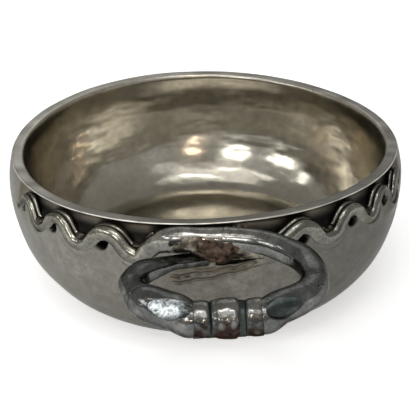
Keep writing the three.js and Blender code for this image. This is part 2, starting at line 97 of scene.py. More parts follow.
# Finger ring
RING_HALF_WIDTH = 14.7
RING_HALF_DEPTH = 12.75
RING_SKEW = 0.6
RING_REAR_RADIUS = 2.05
LEFT_SIDE_RADIUS = 2.1  # of the ring's left side, which is worn thinner
RIGHT_SIDE_RADIUS = 2.28
LEFT_HEAD_RADIUS = 2.92
RIGHT_HEAD_RADIUS = 2.66
NAPE_RADIUS = 2.7
LEFT_HEAD_SPAN = (98 * DEG, 127 * DEG)  # round the ring, where the head swells
RIGHT_HEAD_SPAN = (96 * DEG, 154 * DEG)
CREASE_AT = 117 * DEG  # fine crease behind the left head
CREASE_FOOT = 1.2  # how far below the ring's axis it ends
ARM_BREADTH = 0.3  # how much broader than high the arm is
HEADS_FROM = 112 * DEG
HEADS_FULL = 142 * DEG
FRONT_TUCK = 1.05
SEAM_ANGLE = 5 * DEG
SEAM_GAP = 0.008
TAIL_UNDER = 4.5 * DEG
TAIL_PAST = -5 * DEG
ARM_RADIUS = 1.3
ARM_START = -2 * DEG
ARM_DROP = 0.7
ARM_BENDS = [(0.51, 0.23, 0.35), (0.67, 0.4, 0.56), (0.88, 0.68, 0.83)]  # left, forward, up
ARM_JOIN = -95 * DEG
RING_HEIGHT = RIM_HEIGHT - RING_REAR_RADIUS
UNDER_HEIGHT = RING_HEIGHT - RING_REAR_RADIUS - CLEARANCE - WIRE_HALF_WIDTH

# Knop
BARREL_RADIUS = 3.1
BARREL_WIDTH = 3.4
GROOVE_WIDTH = 0.9
BEAD_RADIUS = 2.85
BEAD_WIDTH = 2.1
KNOP_INSET = 0.8
KNOP_HALF = BARREL_WIDTH / 2 + GROOVE_WIDTH + CLEARANCE + BEAD_WIDTH + CLEARANCE
BEAD_PLACE = KNOP_HALF - CLEARANCE - BEAD_WIDTH / 2
KNOP_TURN = 0.8 * DEG
KNOP_SEAM = 0.01
FLUSH_RADIUS = 2.86  # to which its grooves have worn flush below

# Hollows in the heads
DISH_DEPTH = 0.5
LEFT_DISH = {"offset": 8.5, "out": 5.0, "in": 3.5, "half_height": 1.42, "tilt": 38 * DEG}
RIGHT_DISH = {"offset": 8.3, "out": 4.2, "in": 3.1, "half_height": 1.5, "tilt": 31 * DEG}

# Fineness
FRONT_COLUMN = 0.4 * DEG
REAR_COLUMN = 1.6 * DEG
FRONT_SPAN = 74 * DEG
ROW_STEP = 0.18
DETAIL_FROM = 18.0  # height over which the bowl's rows are even and fine
MERGE_WITHIN = 0.002


# Shapes of the bowl and of the wires, as the CAD part has them

def ramp(low, high, value):
    share = np.clip((value - low) / (high - low), 0, 1)
    return share * share * (3 - 2 * share)


def hump(offset, width):
    """1 where the offset is 0, and falling off smoothly to both sides."""
    return np.exp(-((offset / width) ** 2))


def outer_radius(z):
    z = np.asarray(z, float)
    drop = np.clip(1 - np.maximum(z, 0) / BELLY_HEIGHT, 0, 1)
    low = BASE_RADIUS + (BELLY_RADIUS - BASE_RADIUS) * np.sqrt(1 - drop * drop)
    rise = (z - BELLY_HEIGHT) / (RIM_HEIGHT - BELLY_HEIGHT)
    high = BELLY_RADIUS - (BELLY_RADIUS - RIM_RADIUS) * rise * rise
    return np.where(z < BELLY_HEIGHT, low, high)


def wave_angle(wave, turns):
    spread = (1 - wave["shrink"] ** turns) / (1 - wave["shrink"])
    return wave["first"] + wave["period"] * spread


LEFT_END = wave_angle(LEFT_WAVE, LEFT_WAVE["turns"])
RIGHT_END = wave_angle(RIGHT_WAVE, RIGHT_WAVE["turns"])


def past_waves(side):
    """How far past the end of the waves an angle from the ring lies."""
    return np.abs(side) - np.where(side < 0, LEFT_END, RIGHT_END)


def wall_radius(z, side):
    side = np.asarray(side, float)
    foot = ramp(CHANNEL_FOOT, CHANNEL_FOOT + CHANNEL_STEP, z)
    lip = RIM_HEIGHT - LIP_ROUNDING
    cove = 1 - ramp(lip - CHANNEL_COVE, lip, z)
    along = ramp(0, -CHANNEL_FADE, past_waves(side) - CHANNEL_PAST_TIP)
    return outer_radius(z) - CHANNEL_DEPTH * foot * cove * along


def side_of(points):
    """The angle from the ring at which each point lies, seen from the bowl's axis."""
    return np.arctan2(points[..., 0], -points[..., 1])


def polar(radius, side, z):
    radius, side, z = np.broadcast_arrays(radius, side, z)
    return np.stack([radius * np.sin(side), -radius * np.cos(side), z], -1).astype(float)


def hand_raised(points):
    points = np.array(points, float)
    x, y = points[..., 0], points[..., 1]
    radius, azimuth = np.hypot(x, y), np.arctan2(y, x)
    share = np.minimum(radius / BELLY_RADIUS, 1)
    outward = OUT_OF_ROUND * share * np.cos(2 * (azimuth - LONG_AXIS))
    lift = LIP_SADDLE * share**2 * np.cos(2 * (azimuth - SADDLE_AXIS))
    points[..., 0] += outward * np.cos(azimuth)
    points[..., 1] += outward * np.sin(azimuth)
    points[..., 2] += lift * points[..., 2] / RIM_HEIGHT
    return points


def tail_size(share):
    fullness = np.asarray(share, float) ** WIRE_TAPER
    depth = TIP_HALF_DEPTH + (WIRE_HALF_DEPTH - TIP_HALF_DEPTH) * fullness
    width = TIP_HALF_WIDTH + (WIRE_HALF_WIDTH - TIP_HALF_WIDTH) * fullness
    return depth, width


def wave_point(wave, turns, sign):
    """The wire's axis after so many turns; its crests and troughs are rounder than a plain wave's."""
    depth, width = tail_size(1 - turns / wave["turns"])
    low = CHANNEL_FOOT + CLEARANCE + width
    high = RIM_HEIGHT - WAVE_TOP_ROOM - WIRE_HALF_WIDTH
    z = low + (high - low) * (0.5 - 0.5 * math.cos(TURN * turns))
    side = sign * wave_angle(wave, turns + WAVE_ROUNDNESS * math.sin(2 * TURN * turns) / (2 * TURN))
    return polar(wall_radius(z, side) + CLEARANCE + depth, side, z)


def wave_points(wave, sign, from_turn):
    steps = round((wave["turns"] - from_turn) * WAVE_STEPS)
    return [wave_point(wave, t, sign) for t in np.linspace(wave["turns"], from_turn, steps + 1)]


def rest_point(side, z, bar_radius):
    """The axis of a bar that rests on the wall or the lip at this angle and height."""
    reach = bar_radius + CLEARANCE
    heights = np.minimum(z + reach * np.linspace(-1, 1, 25), RIM_HEIGHT)
    stand_off = np.sqrt(np.maximum(reach**2 - (heights - z) ** 2, 0))
    return polar(float(np.max(wall_radius(heights, side) + stand_off)), side, z)


RING_REAR_Y = rest_point(0, RING_HEIGHT, RING_REAR_RADIUS)[1]


def ring_point(angle):
    oval = RING_REAR_Y - RING_HALF_DEPTH * (1 - math.cos(angle)) - RING_SKEW * math.sin(angle)
    y = oval + FRONT_TUCK * float(ramp(HEADS_FROM, HEADS_FULL, abs(angle)))
    return np.array([RING_HALF_WIDTH * math.sin(angle), y, RING_HEIGHT])


def under_point(side, half_depth, drop):
    radius = wall_radius(UNDER_HEIGHT, side) + CLEARANCE + half_depth
    return polar(radius, side, UNDER_HEIGHT - drop)


def knop_point(distance):
    y = RING_REAR_Y - 2 * RING_HALF_DEPTH + KNOP_INSET - distance * math.sin(KNOP_TURN)
    return np.array([distance * math.cos(KNOP_TURN), y, RING_HEIGHT])


def front_angle(distance, way):
    """How far round the ring, one way or the other, its front lies at a distance from its middle."""
    return way * (math.pi - math.asin(distance / RING_HALF_WIDTH))


def front_points(from_angle, way):
    angles = np.linspace(from_angle, front_angle(KNOP_HALF + 2 * KNOP_INSET + 1, way), 15)
    in_knop = [knop_point(way * (KNOP_HALF + more)) for more in (0.45, 0.1, -0.3)]
    return [ring_point(angle) for angle in angles] + in_knop


def smooth_path(points, per_span=24, spacing=0.2):
    """A smooth curve through points: evenly spaced ones, their shares of its length, and the given ones'."""
    points = np.array(points, float)
    ends = np.vstack([2 * points[0] - points[1], points, 2 * points[-1] - points[-2]])
    share = (np.arange(per_span) / per_span)[:, None]
    curve = []
    for before, start, end, after in zip(ends, ends[1:], ends[2:], ends[3:]):
        steps = (start - before, end - start, after - end)
        lead, gap, trail = (max(float(step @ step) ** 0.25, 1e-4) for step in steps)
        leave = ((start - before) / lead - (end - before) / (lead + gap) + (end - start) / gap) * gap
        arrive = ((end - start) / gap - (after - start) / (gap + trail) + (after - end) / trail) * gap
        bend = -3 * start + 3 * end - 2 * leave - arrive
        twist = 2 * start - 2 * end + leave + arrive
        curve.append(start + leave * share + bend * share**2 + twist * share**3)
    curve = np.vstack([*curve, points[-1]])
    lengths = np.concatenate([[0], np.cumsum(np.linalg.norm(np.diff(curve, axis=0), axis=1))])
    shares = lengths / lengths[-1]
    even = np.linspace(0, 1, max(int(lengths[-1] / spacing), 8))
    spaced = np.stack([np.interp(even, shares, curve[:, k]) for k in range(3)], -1)
    return spaced, even, shares[::per_span]


def undulation(points, wavelength, seed, waves=18):
    """Smooth unevenness of a hand-worked surface, about -1 to 1, with the same waves each run."""
    draw = np.random.default_rng(seed)
    directions = draw.normal(size=(waves, 3))
    directions /= np.linalg.norm(directions, axis=1)[:, None]
    lengths = wavelength * draw.uniform(0.7, 1.6, waves)
    phases = draw.uniform(0, TURN, waves)
    total = np.zeros(points.shape[:-1])
    for direction, length, phase in zip(directions, lengths, phases):
        total += np.cos(points @ direction * (TURN / length) + phase)
    return total / math.sqrt(waves)


# Paths of the four serpent pieces, each with its half depth and half width

def left_tail_path():
    points = wave_points(LEFT_WAVE, -1, 0)
    wave_end = len(points) - 1
    climb = (points[wave_end][2] + RING_HEIGHT) / 2
    points.append(rest_point(-CLIMB_MIDDLE, climb + 0.95, (WIRE_HALF_DEPTH + RING_REAR_RADIUS) / 2))
    points += [rest_point(side, RING_HEIGHT + 0.3, RING_REAR_RADIUS) for side in (-CLIMB_TOP, -CLIMB_TOP / 2)]
    points += [ring_point(0), ring_point(SEAM_ANGLE - SEAM_GAP / RING_HALF_WIDTH)]
    path, shares, marks = smooth_path(points)
    swell_from = marks[wave_end]
    swell = ramp(swell_from, (1 + swell_from) / 2, shares)
    sizes = (size * WAVE_FULLNESS for size in tail_size(np.minimum(shares / swell_from, 1)))
    depth, width = (size + (RING_REAR_RADIUS - size) * swell for size in sizes)
    return path, depth, width


def right_tail_path():
    points = wave_points(RIGHT_WAVE, 1, 0.5)
    turn_in = len(points)
    halfway = (UNDER_BEND + TAIL_UNDER) / 2
    for side, drop in ((UNDER_BEND, 0.0), (halfway, 0.5), (TAIL_UNDER, 0.9), (TAIL_PAST, 0.9)):
        points.append(under_point(side, WIRE_HALF_DEPTH - 0.7 * drop, drop))
    path, shares, marks = smooth_path(points)
    depth, width = tail_size(np.minimum(shares / marks[turn_in], 1))
    depth = depth * WAVE_FULLNESS - 0.5 * ramp(marks[turn_in], marks[turn_in + 2], shares)
    return path, depth, width * WAVE_FULLNESS


def way_round(points):
    """How far round the ring each point lies, as an angle from its rear."""
    forward = (RING_REAR_Y - points[:, 1]) / RING_HALF_DEPTH
    return np.arctan2(np.abs(points[:, 0]) / RING_HALF_WIDTH, 1 - forward)


def head_swell(path, shares, side_radius, head_radius, span):
    """What a head adds to the ring's radius."""
    head = ramp(*span, way_round(path)) * (head_radius - side_radius)
    return head - ramp(0.88, 1, shares) * (head_radius - NAPE_RADIUS)


def left_neck_path():
    path, shares, _ = smooth_path(front_points(SEAM_ANGLE + SEAM_GAP / RING_HALF_WIDTH, 1))
    radius = RING_REAR_RADIUS + (RIGHT_SIDE_RADIUS - RING_REAR_RADIUS) * ramp(0, 0.5, shares)
    radius += head_swell(path, shares, RIGHT_SIDE_RADIUS, RIGHT_HEAD_RADIUS, RIGHT_HEAD_SPAN)
    return path, radius, radius


def right_neck_path():
    points = [under_point(ARM_START, ARM_RADIUS - 0.4, ARM_DROP)]
    rise = RING_HEIGHT - UNDER_HEIGHT
    for left, forward, up in ARM_BENDS:
        y = RING_REAR_Y - forward * RING_HALF_DEPTH
        points.append(np.array([-left * RING_HALF_WIDTH, y, UNDER_HEIGHT + rise * up]))
    path, shares, _ = smooth_path(points + front_points(ARM_JOIN, -1))
    radius = ARM_RADIUS + (LEFT_SIDE_RADIUS - ARM_RADIUS) * ramp(0.2, 0.45, shares)
    radius += head_swell(path, shares, LEFT_SIDE_RADIUS, LEFT_HEAD_RADIUS, LEFT_HEAD_SPAN)
    broad = ramp(0, 0.08, shares) * ramp(0.5, 0.25, shares)
    return path, radius * (1 - 0.1 * broad), radius * (1 + ARM_BREADTH * broad)


LEFT_TAIL = left_tail_path()
RIGHT_TAIL = right_tail_path()
LEFT_NECK = left_neck_path()
RIGHT_NECK = right_neck_path()


# Nodes, written as formulas

class Value:
    """An output of a node; arithmetic on it adds the nodes that work it out."""

    def __init__(self, socket):
        self.socket = socket
        self.tree = socket.id_data

    def other(self, name):
        return Value(self.socket.node.outputs[name])

    def maths(self, operation, *others, clamp=False):
        return add(self.tree, "ShaderNodeMath", (self, *others), operation=operation, use_clamp=clamp)

    def vector(self, operation, *others, output="Vector"):
        return add(self.tree, "ShaderNodeVectorMath", (self, *others), output, operation=operation)

    def scaled(self, factor):
        return add(self.tree, "ShaderNodeVectorMath", {0: self, "Scale": factor}, "Vector", operation="SCALE")

    def __add__(self, value):
        return self.maths("ADD", value)

    def __mul__(self, value):
        return self.maths("MULTIPLY", value)

    def __rsub__(self, value):
        return add(self.tree, "ShaderNodeMath", (value, self), operation="SUBTRACT")

    def between(self, low, high, to_low=0.0, to_high=1.0):
        return add(self.tree, "ShaderNodeMapRange", (self, low, high, to_low, to_high), clamp=True)

    def mix(self, low, high):
        return add(self.tree, "ShaderNodeMix", {0: self, 2: low, 3: high})

    def blend(self, colour, over):
        """The first colour where this is 0, and the one over it where this is 1."""
        return add(self.tree, "ShaderNodeMix", {0: self, 6: colour, 7: over}, 2, data_type="RGBA")


def add(tree, kind, inputs=(), output=0, **settings):
    """An output of a new node; its inputs are values or other outputs, in order or by place or name."""
    node = tree.nodes.new(kind)
    for key, value in settings.items():
        setattr(node, key, value)
    for key, value in (inputs if isinstance(inputs, dict) else dict(enumerate(inputs))).items():
        socket = node.inputs[key]
        if isinstance(value, Value):
            tree.links.new(value.socket, socket)
        else:
            socket.default_value = (*value, 1.0) if socket.type == "RGBA" else value
    return Value(node.outputs[output])


# Geometry Nodes: a forged wire along a path

def forged_wire_tree():
    tree = bpy.data.node_groups.new("forged_wire", "GeometryNodeTree")
    sockets = {
        "Path": "Geometry", "Rows": "Int", "Sides": "Int", "Squareness": "Float",
        "Start Rounding": "Float", "End Rounding": "Float", "Finish": "Material",
    }
    for name, kind in sockets.items():
        tree.interface.new_socket(name, in_out="INPUT", socket_type="NodeSocket" + kind)
    tree.interface.new_socket("Wire", in_out="OUTPUT", socket_type="NodeSocketGeometry")
    given = add(tree, "NodeGroupInput").other
    curve = add(tree, "GeometryNodeMeshToCurve", {"Mesh": given("Path")})
    length = add(tree, "GeometryNodeCurveLength", {"Curve": curve})
    shape = add(tree, "GeometryNodeMeshGrid", {
        "Size X": 1.0, "Size Y": 1.0, "Vertices X": given("Rows"), "Vertices Y": given("Sides") + 1.0,
    })
    on_grid = add(tree, "ShaderNodeSeparateXYZ", (add(tree, "GeometryNodeInputPosition"),))
    even = on_grid + 0.5
    # rows lie closer together at both ends, where the wire is rounded off
    swing = (even * TURN).maths("SINE")
    along = even.maths("SUBTRACT", swing * (0.9 / TURN), clamp=True)
    turn = (on_grid.other("Y") + 0.5) * -TURN

    def sampled(name, kind="FLOAT"):
        value = add(tree, "GeometryNodeInputNamedAttribute", {"Name": name}, "Attribute", data_type=kind)
        inputs = {"Curves": curve, "Value": value, "Factor": along}
        return add(tree, "GeometryNodeSampleCurve", inputs, "Value", data_type=kind, mode="FACTOR")

    line = sampled("outward", "FLOAT_VECTOR")
    tangent = line.other("Tangent")
    slip = line.vector("DOT_PRODUCT", tangent, output="Value")
    outward = line.vector("SUBTRACT", tangent.scaled(slip)).vector("NORMALIZE")
    across = tangent.vector("CROSS_PRODUCT", outward)
    power = add(tree, "ShaderNodeMath", (2.0, given("Squareness")), operation="DIVIDE")

    def squared(wave):
        return wave.maths("ABSOLUTE").maths("POWER", power) * wave.maths("SIGN")

    def rounded(share, rounding):
        back = 1.0 - (share * length).maths("DIVIDE", rounding, clamp=True)
        return (1.0 - back * back).maths("SQRT")

    fullness = rounded(along, given("Start Rounding")) * rounded(1.0 - along, given("End Rounding"))
    front, flank = squared(turn.maths("COSINE")), squared(turn.maths("SINE"))
    out = outward.scaled(sampled("half_out") * front * fullness)
    aside = across.scaled(sampled("half_across") * flank * fullness)
    position = line.other("Position").vector("ADD", out.vector("ADD", aside))
    for name, value in (("along", along), ("front", front), ("flank", flank)):
        inputs = {"Geometry": shape, "Name": name, "Value": value}
        shape = add(tree, "GeometryNodeStoreNamedAttribute", inputs, data_type="FLOAT", domain="POINT")
    for kind, inputs in (
        ("SetPosition", {"Position": position}), ("MergeByDistance", {"Distance": MERGE_WITHIN * MM}),
        ("RealizeInstances", {}), ("SetMaterial", {"Material": given("Finish")}),
    ):
        shape = add(tree, "GeometryNode" + kind, {"Geometry": shape, **inputs})
    tree.links.new(shape.socket, tree.nodes.new("NodeGroupOutput").inputs["Wire"])
    return tree


def run_tree(name, tree, base, values):
    """The plain mesh that a node tree makes from a base mesh; the modifier and the object that held the base
    are removed.
    """
    holder = bpy.data.objects.new(name + "_path", base)
    bpy.context.scene.collection.objects.link(holder)
    modifier = holder.modifiers.new("shape", "NODES")
    modifier.node_group = tree
    identifiers = {item.name: item.identifier for item in tree.interface.items_tree if item.in_out == "INPUT"}
    for key, value in values.items():
        modifier[identifiers[key]] = value
    evaluated = holder.evaluated_get(bpy.context.evaluated_depsgraph_get())
    mesh = bpy.data.meshes.new_from_object(evaluated)
    holder.modifiers.remove(modifier)
    bpy.data.objects.remove(holder)
    mesh.name = name
    return mesh


# Meshes and their shades

def place(name, mesh, slot_name, *nodes):
    """The finished piece, riding on the part and standing for its CAD nodes."""
    piece = bpy.data.objects.new(name, mesh)
    bpy.context.scene.collection.objects.link(piece)
    mesh.shade_smooth()
    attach(piece, "root")
    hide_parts(*nodes)


def read_vectors(mesh, key):
    values = np.zeros(len(mesh.vertices) * 3, np.float32)
    mesh.vertices.foreach_get(key, values)
    return values.reshape(-1, 3).astype(float)


def read_points(mesh):
    return read_vectors(mesh, "co") / MM


def write_points(mesh, points):
    mesh.vertices.foreach_set("co", (points * MM).astype(np.float32).ravel())
    mesh.update()


def read_shade(mesh, key):
    values = np.zeros(len(mesh.vertices), np.float32)
    mesh.attributes[key].data.foreach_get("value", values)
    return values.astype(float)


def write_attribute(mesh, key, values):
    attribute = mesh.attributes.get(key) or mesh.attributes.new(key, "FLOAT", "POINT")
    attribute.data.foreach_set("value", values.astype(np.float32))


def write_shades(mesh, **shades):
    """Where the finish is worn, grimy, brown and so on, and where light and shade are painted, from 0 to 1 at
    each vertex.
    """
    for key, values in shades.items():
        write_attribute(mesh, key, np.clip(values, 0, 1))


def skin(name, grid, start_pole, end_pole, material, shades=None):
    """A closed mesh from rows of points that run round, with a pole before the first and after the last."""
    rows, columns = grid.shape[:2]
    points = np.vstack([grid.reshape(-1, 3), [start_pole], [end_pole]])
    index = np.arange(rows * columns).reshape(rows, columns)
    beside = np.roll(index, -1, axis=1)
    quads = np.stack([index[:-1], beside[:-1], beside[1:], index[1:]], -1).reshape(-1, 4)
    first, last = rows * columns, rows * columns + 1
    caps = [(first, int(b), int(a)) for a, b in zip(index[0], beside[0])]
    caps += [(last, int(a), int(b)) for a, b in zip(index[-1], beside[-1])]
    faces = quads.tolist() + caps
    # a skin that came out inside out is turned
    a, b, c, d = (points[quads[:, k]] - points.mean(0) for k in range(4))
    volume = np.einsum("ij,ij->i", a, np.cross(b, c) + np.cross(c, d)).sum()
    if volume < 0:
        faces = [tuple(reversed(face)) for face in faces]
    mesh = bpy.data.meshes.new(name)
    mesh.from_pydata((points * MM).tolist(), [], faces)
    for key, values in (shades or {}).items():
        write_shades(mesh, **{key: np.concatenate([values.ravel(), [values[0].mean(), values[-1].mean()]])})
    mesh.materials.append(material)
    mesh.validate()
    return mesh


def joined(mesh, other):
    both = bmesh.new()
    both.from_mesh(mesh)
    both.from_mesh(other)
    both.to_mesh(mesh)
    both.free()
    bpy.data.meshes.remove(other)
    return mesh


# Finishes

def finish(name, *shades):
    """A new material, its place in the object's space, and the shades that its meshes carry."""
    material = bpy.data.materials.new(name)
    material.use_nodes = True
    tree = material.node_tree
    return material, object_place(tree), *(
        add(tree, "ShaderNodeAttribute", (), "Fac", attribute_name=key) for key in shades
    )


def object_place(tree, stretch=(1, 1, 1), turn=(0, 0, 0)):
    where = add(tree, "ShaderNodeTexCoord", (), "Object")
    return add(tree, "ShaderNodeMapping", {"Vector": where, "Scale": stretch, "Rotation": turn})


def noise(where, size_mm, detail=3.0, rough=0.55):
    inputs = {"Vector": where, "Scale": 1 / (size_mm * MM), "Detail": detail, "Roughness": rough}
    return add(where.tree, "ShaderNodeTexNoise", inputs, "Fac")


def pits(where, spacing_mm, size, patch_mm):
    """Sparse casting pits: 1 in a pit, 0 outside."""
    inputs = {"Vector": where, "Scale": 1 / (spacing_mm * MM)}
    cells = add(where.tree, "ShaderNodeTexVoronoi", inputs, "Distance")
    return cells.between(0.0, size, 1.0, 0.0) * noise(where, patch_mm, 1.0).between(0.5, 0.56)


def layered(colour, *layers):
    for share, over in layers:
        colour = share.blend(colour, over)
    return colour


def bare_metal(material, colour, rough, tint, *reliefs):
    """Fills in the shader; each relief is a height and how many millimetres it stands for."""
    tree = material.node_tree
    inputs = tree.nodes["Principled BSDF"].inputs
    below = {}
    for height, depth_mm in reliefs:
        relief = {"Height": height, "Distance": depth_mm * MM, "Strength": 1.0}
        below = {"Normal": add(tree, "ShaderNodeBump", {**relief, **below})}
    for key, value in {"Base Color": colour, "Roughness": rough, **below}.items():
        tree.links.new(value.socket, inputs[key])
    inputs["Metallic"].default_value = 1.0
    inputs["Specular Tint"].default_value = (tint, tint, tint, 1)
    return material


def bowl_silver():
    material, where, inside, grime, brown, rim = finish("raised_silver", "inside", "grime", "brown", "rim")
    outside = 1.0 - inside
    rightward = add(where.tree, "ShaderNodeSeparateXYZ", (where,))
    height = rightward.other("Z")
    cloud = noise(where, 14, 4.0).between(0.3, 0.7)
    fine = noise(where, 1.6, 4.0).between(0.3, 0.7)
    mottle = noise(where, 3.4, 5.0, 0.62).between(0.36, 0.66)
    grain = noise(where, 0.9, 4.0, 0.65).between(0.42, 0.66)
    pit = pits(where, 2.2, 0.09, 7) * outside
    outer = layered(
        cloud.blend((0.15, 0.146, 0.128), (0.28, 0.273, 0.243)),
        (mottle * 0.75, (0.092, 0.085, 0.070)),
        (grain * 0.5, (0.075, 0.068, 0.056)),
        # painted shade on the right of the outside wall, and painted light on its left
        (rightward.between(-15 * MM, 34 * MM, 0, 0.62), (0.080, 0.081, 0.075)),
        (rightward.between(-12 * MM, -40 * MM, 0, 0.5), (0.34, 0.33, 0.295)),
    )
    floor = cloud.blend((0.27, 0.25, 0.205), (0.40, 0.373, 0.318))
    upper = cloud.blend((0.58, 0.545, 0.455), (0.80, 0.765, 0.67))
    inner = height.between(4 * MM, 18 * MM).blend(floor, upper)
    colour = layered(
        inside.blend(outer, inner),
        (fine * 0.25, (0.16, 0.145, 0.115)),
        # rim: the lip's worn top with painted light, and a painted highlight along its outer edge
        (rim, (0.82, 0.80, 0.73)),
        (brown, (0.066, 0.048, 0.028)),
        # near black: painted shade in the channel, its holes and along the wires
        (grime, (0.010, 0.009, 0.008)),
        (pit, (0.03, 0.026, 0.02)),
    )
    worn = noise(where, 5, 5.0).between(0.25, 0.75, -0.04, 0.06)
    polished = height.between(8 * MM, 21 * MM, 0.17, 0.2)
    rough = (inside.mix(0.34, polished) + worn).maths("ADD", grime * 0.25, clamp=True)
    scratches = noise(object_place(where.tree, (1, 9, 4), (0.3, 0.5, 0.9)), 2.0, 3.0, 0.7)
    scratches += noise(object_place(where.tree, (8, 1, 3), (0.9, 0.2, 0.4)), 1.7, 3.0, 0.7)
    swirls = noise(object_place(where.tree, (1, 1, 2.4), (0.1, -0.15, 0)), 5.5, 1.0, 0.4)
    return bare_metal(
        material, colour, rough, 0.6,
        (scratches * outside, 0.026), (fine * outside, 0.024), (swirls * inside, 0.12), (pit, -0.12),
    )


def serpent_silver():
    material, where, grime, bright, brown, worn, pitted, warm, tarnish = finish(
        "serpent_silver_worn_and_painted_light", "grime", "bright", "brown", "worn", "pitted", "warm", "tarnish",
    )
    cloud = noise(where, 4, 5.0, 0.62).between(0.32, 0.68)
    speckle = noise(where, 0.5, 3.0).between(0.48, 0.66)
    sparkle = noise(where, 0.8, 4.0, 0.6).between(0.36, 0.52)
    pit = pits(where, 1.1, 0.32, 3) * pitted.between(0, 1, 0.15, 1)
    dark = cloud.blend((0.088, 0.094, 0.093), (0.18, 0.182, 0.175))
    light = cloud.blend((0.19, 0.185, 0.165), (0.46, 0.448, 0.402))
    # worn: wear, and painted light on the tops of the wires, the knop and the ring's rear arc
    silver = worn.blend(dark, light)
    colour = layered(
        silver,
        (warm, silver.vector("MULTIPLY", (1.0, 0.97, 0.89))),
        (tarnish, cloud.blend((0.040, 0.056, 0.054), (0.085, 0.105, 0.100))),
        # bright: painted glints on the tails' flanks and a painted reflection in the left head's hollow
        (bright, sparkle.blend((0.16, 0.19, 0.195), (0.78, 0.83, 0.85))),
        (speckle * 0.55, (0.05, 0.046, 0.04)),
        # brown: brown pitting and streaks, darkened further as painted shade under the heads and the knop
        (brown, (0.030, 0.021, 0.017)),
        # near black: grime, and painted shade behind and under the wires, in the crease and in the knop's
        # grooves
        (grime, (0.010, 0.009, 0.008)),
        (pit, (0.022, 0.014, 0.01)),
    )
    rough = cloud.between(0, 1, 0.11, 0.18) + speckle * 0.1
    for share, more in ((grime, 0.35), (brown, 0.2), (bright, 0.18), (tarnish, 0.12)):
        rough = rough.maths("ADD", share * more, clamp=True)
    return bare_metal(
        material, colour, rough, 0.4,
        (noise(where, 1.6, 4.0, 0.55), 0.022), (noise(where, 0.6, 3.0, 0.6) * pitted, 0.09), (pit, -0.16),
    )


def rough_solder():
    material, where, pale, grime = finish("rough_solder", "pale", "grime")
    patch = noise(where, 1.3, 4.0, 0.6).between(0.38, 0.64)
    grain = noise(where, 0.35, 4.0).between(0.35, 0.7)
    colour = layered(
        patch.blend((0.036, 0.025, 0.019), (0.125, 0.088, 0.068)),
        (pale, patch.blend((0.13, 0.117, 0.092), (0.34, 0.32, 0.265))),
        (grain * 0.45, (0.040, 0.030, 0.021)),
        # near black: grime, and painted shade on the lumps in the valleys
        (grime, (0.012, 0.010, 0.008)),
    )
    rough = grain.between(0, 1, 0.32, 0.6)
    return bare_metal(material, colour, rough, 0.45, (noise(where, 0.7, 4.0, 0.6), 0.09))


SILVER = bowl_silver()
SERPENT = serpent_silver()
SOLDER = rough_solder()


# The bowl's mesh

def near_wire(side, z):
    """How far each place on the wall lies past the nearest wire's edge, that wire's half depth, and how far
    its axis lies above the place."""
    best = np.full(side.shape, 1e3)
    half_depth, above = np.zeros(side.shape), np.zeros(side.shape)
    for path, depth, width in (LEFT_TAIL, RIGHT_TAIL):
        on_wall = np.hypot(path[:, 0], path[:, 1]) - depth < BELLY_RADIUS + 0.6
        path, depth, width = path[on_wall], depth[on_wall], width[on_wall]
        apart = BELLY_RADIUS * (side.ravel()[:, None] - side_of(path))
        gap = np.hypot(apart, z.ravel()[:, None] - path[:, 2]) - width
        nearest = gap.argmin(1).reshape(side.shape)
        edge = gap.min(1).reshape(side.shape)
        closer = edge < best
        best = np.where(closer, edge, best)
        half_depth = np.where(closer, depth[nearest], half_depth)
        above = np.where(closer, path[nearest, 2] - z, above)
    return best, half_depth, above


def small_holes(wave, sign):
    """Middle, half width and foot of the small hole under each crest."""
    for crest in np.arange(0.5, wave["turns"] + 0.3):
        out = min(crest / wave["turns"], 1)
        middle = wave_angle(wave, crest) + (LEFT_HOLES_PAST if sign < 0 else 0)
        floor = HOLE_FLOOR_NEAR + (HOLE_FLOOR_FAR - HOLE_FLOOR_NEAR) * out
        yield middle, HOLE_HALF_WIDTH * (1 - 0.35 * out), floor


def hole_share(side, z):
    """1 in the small holes under the crests, 0 elsewhere."""
    share = np.zeros(side.shape)
    for wave, sign in ((LEFT_WAVE, -1), (RIGHT_WAVE, 1)):
        for middle, half_width, floor in small_holes(wave, sign):
            gap = BELLY_RADIUS * np.abs(sign * side - middle) / half_width
            reach = np.hypot(gap, np.minimum(z - HOLE_TOP, 0) / (HOLE_TOP - floor))
            here = ramp(1.25, 0.95, reach) * (z > floor - 0.5) * (z < HOLE_TOP + 1)
            share = np.maximum(share, np.where(sign * side > 0, here, 0))
    return share


def foot_height(side):
    """The wall is filled up to the back of each wire, and only a small hole stays open under each crest."""
    foot = np.zeros(side.shape)
    for (path, _, width), wave, sign in ((LEFT_TAIL, LEFT_WAVE, -1), (RIGHT_TAIL, RIGHT_WAVE, 1)):
        away = sign * side
        angle = sign * side_of(path)
        order = np.argsort(angle)
        level = np.interp(away, angle[order], (path[:, 2] - 0.4 * width)[order])
        by_ring = ramp(CLIMB_MIDDLE + 0.1, CLIMB_MIDDLE, away)
        level += (np.minimum(level, UNDER_HEIGHT + 0.6) - level) * by_ring
        for middle, half_width, floor in small_holes(wave, sign):
            gap = BELLY_RADIUS * np.abs(away - middle) / half_width
            arch = HOLE_TOP - (HOLE_TOP - floor) * np.sqrt(np.clip(1 - gap * gap, 0, 1))
            level += (np.minimum(level, arch) - level) * ramp(1.05, 0.95, gap)
        foot = np.where(away > 0, level, foot)
    return foot


def cut_depth(z, side):
    """Depth of the channel as the wires lie in it: a crisp cove under the lip, and a foot along the wires."""
    foot_at = foot_height(side)
    lip = RIM_HEIGHT - WORN_LIP_ROUNDING
    rise = np.clip((z - lip + CHANNEL_COVE) / CHANNEL_COVE, 0, 1)
    along = ramp(0, -1.7 * CHANNEL_FADE, past_waves(side) - CHANNEL_PAST_TIP)
    return VALLEY_DEPTH * ramp(foot_at, foot_at + 0.4, z) * np.sqrt(1 - rise**2.4) * along


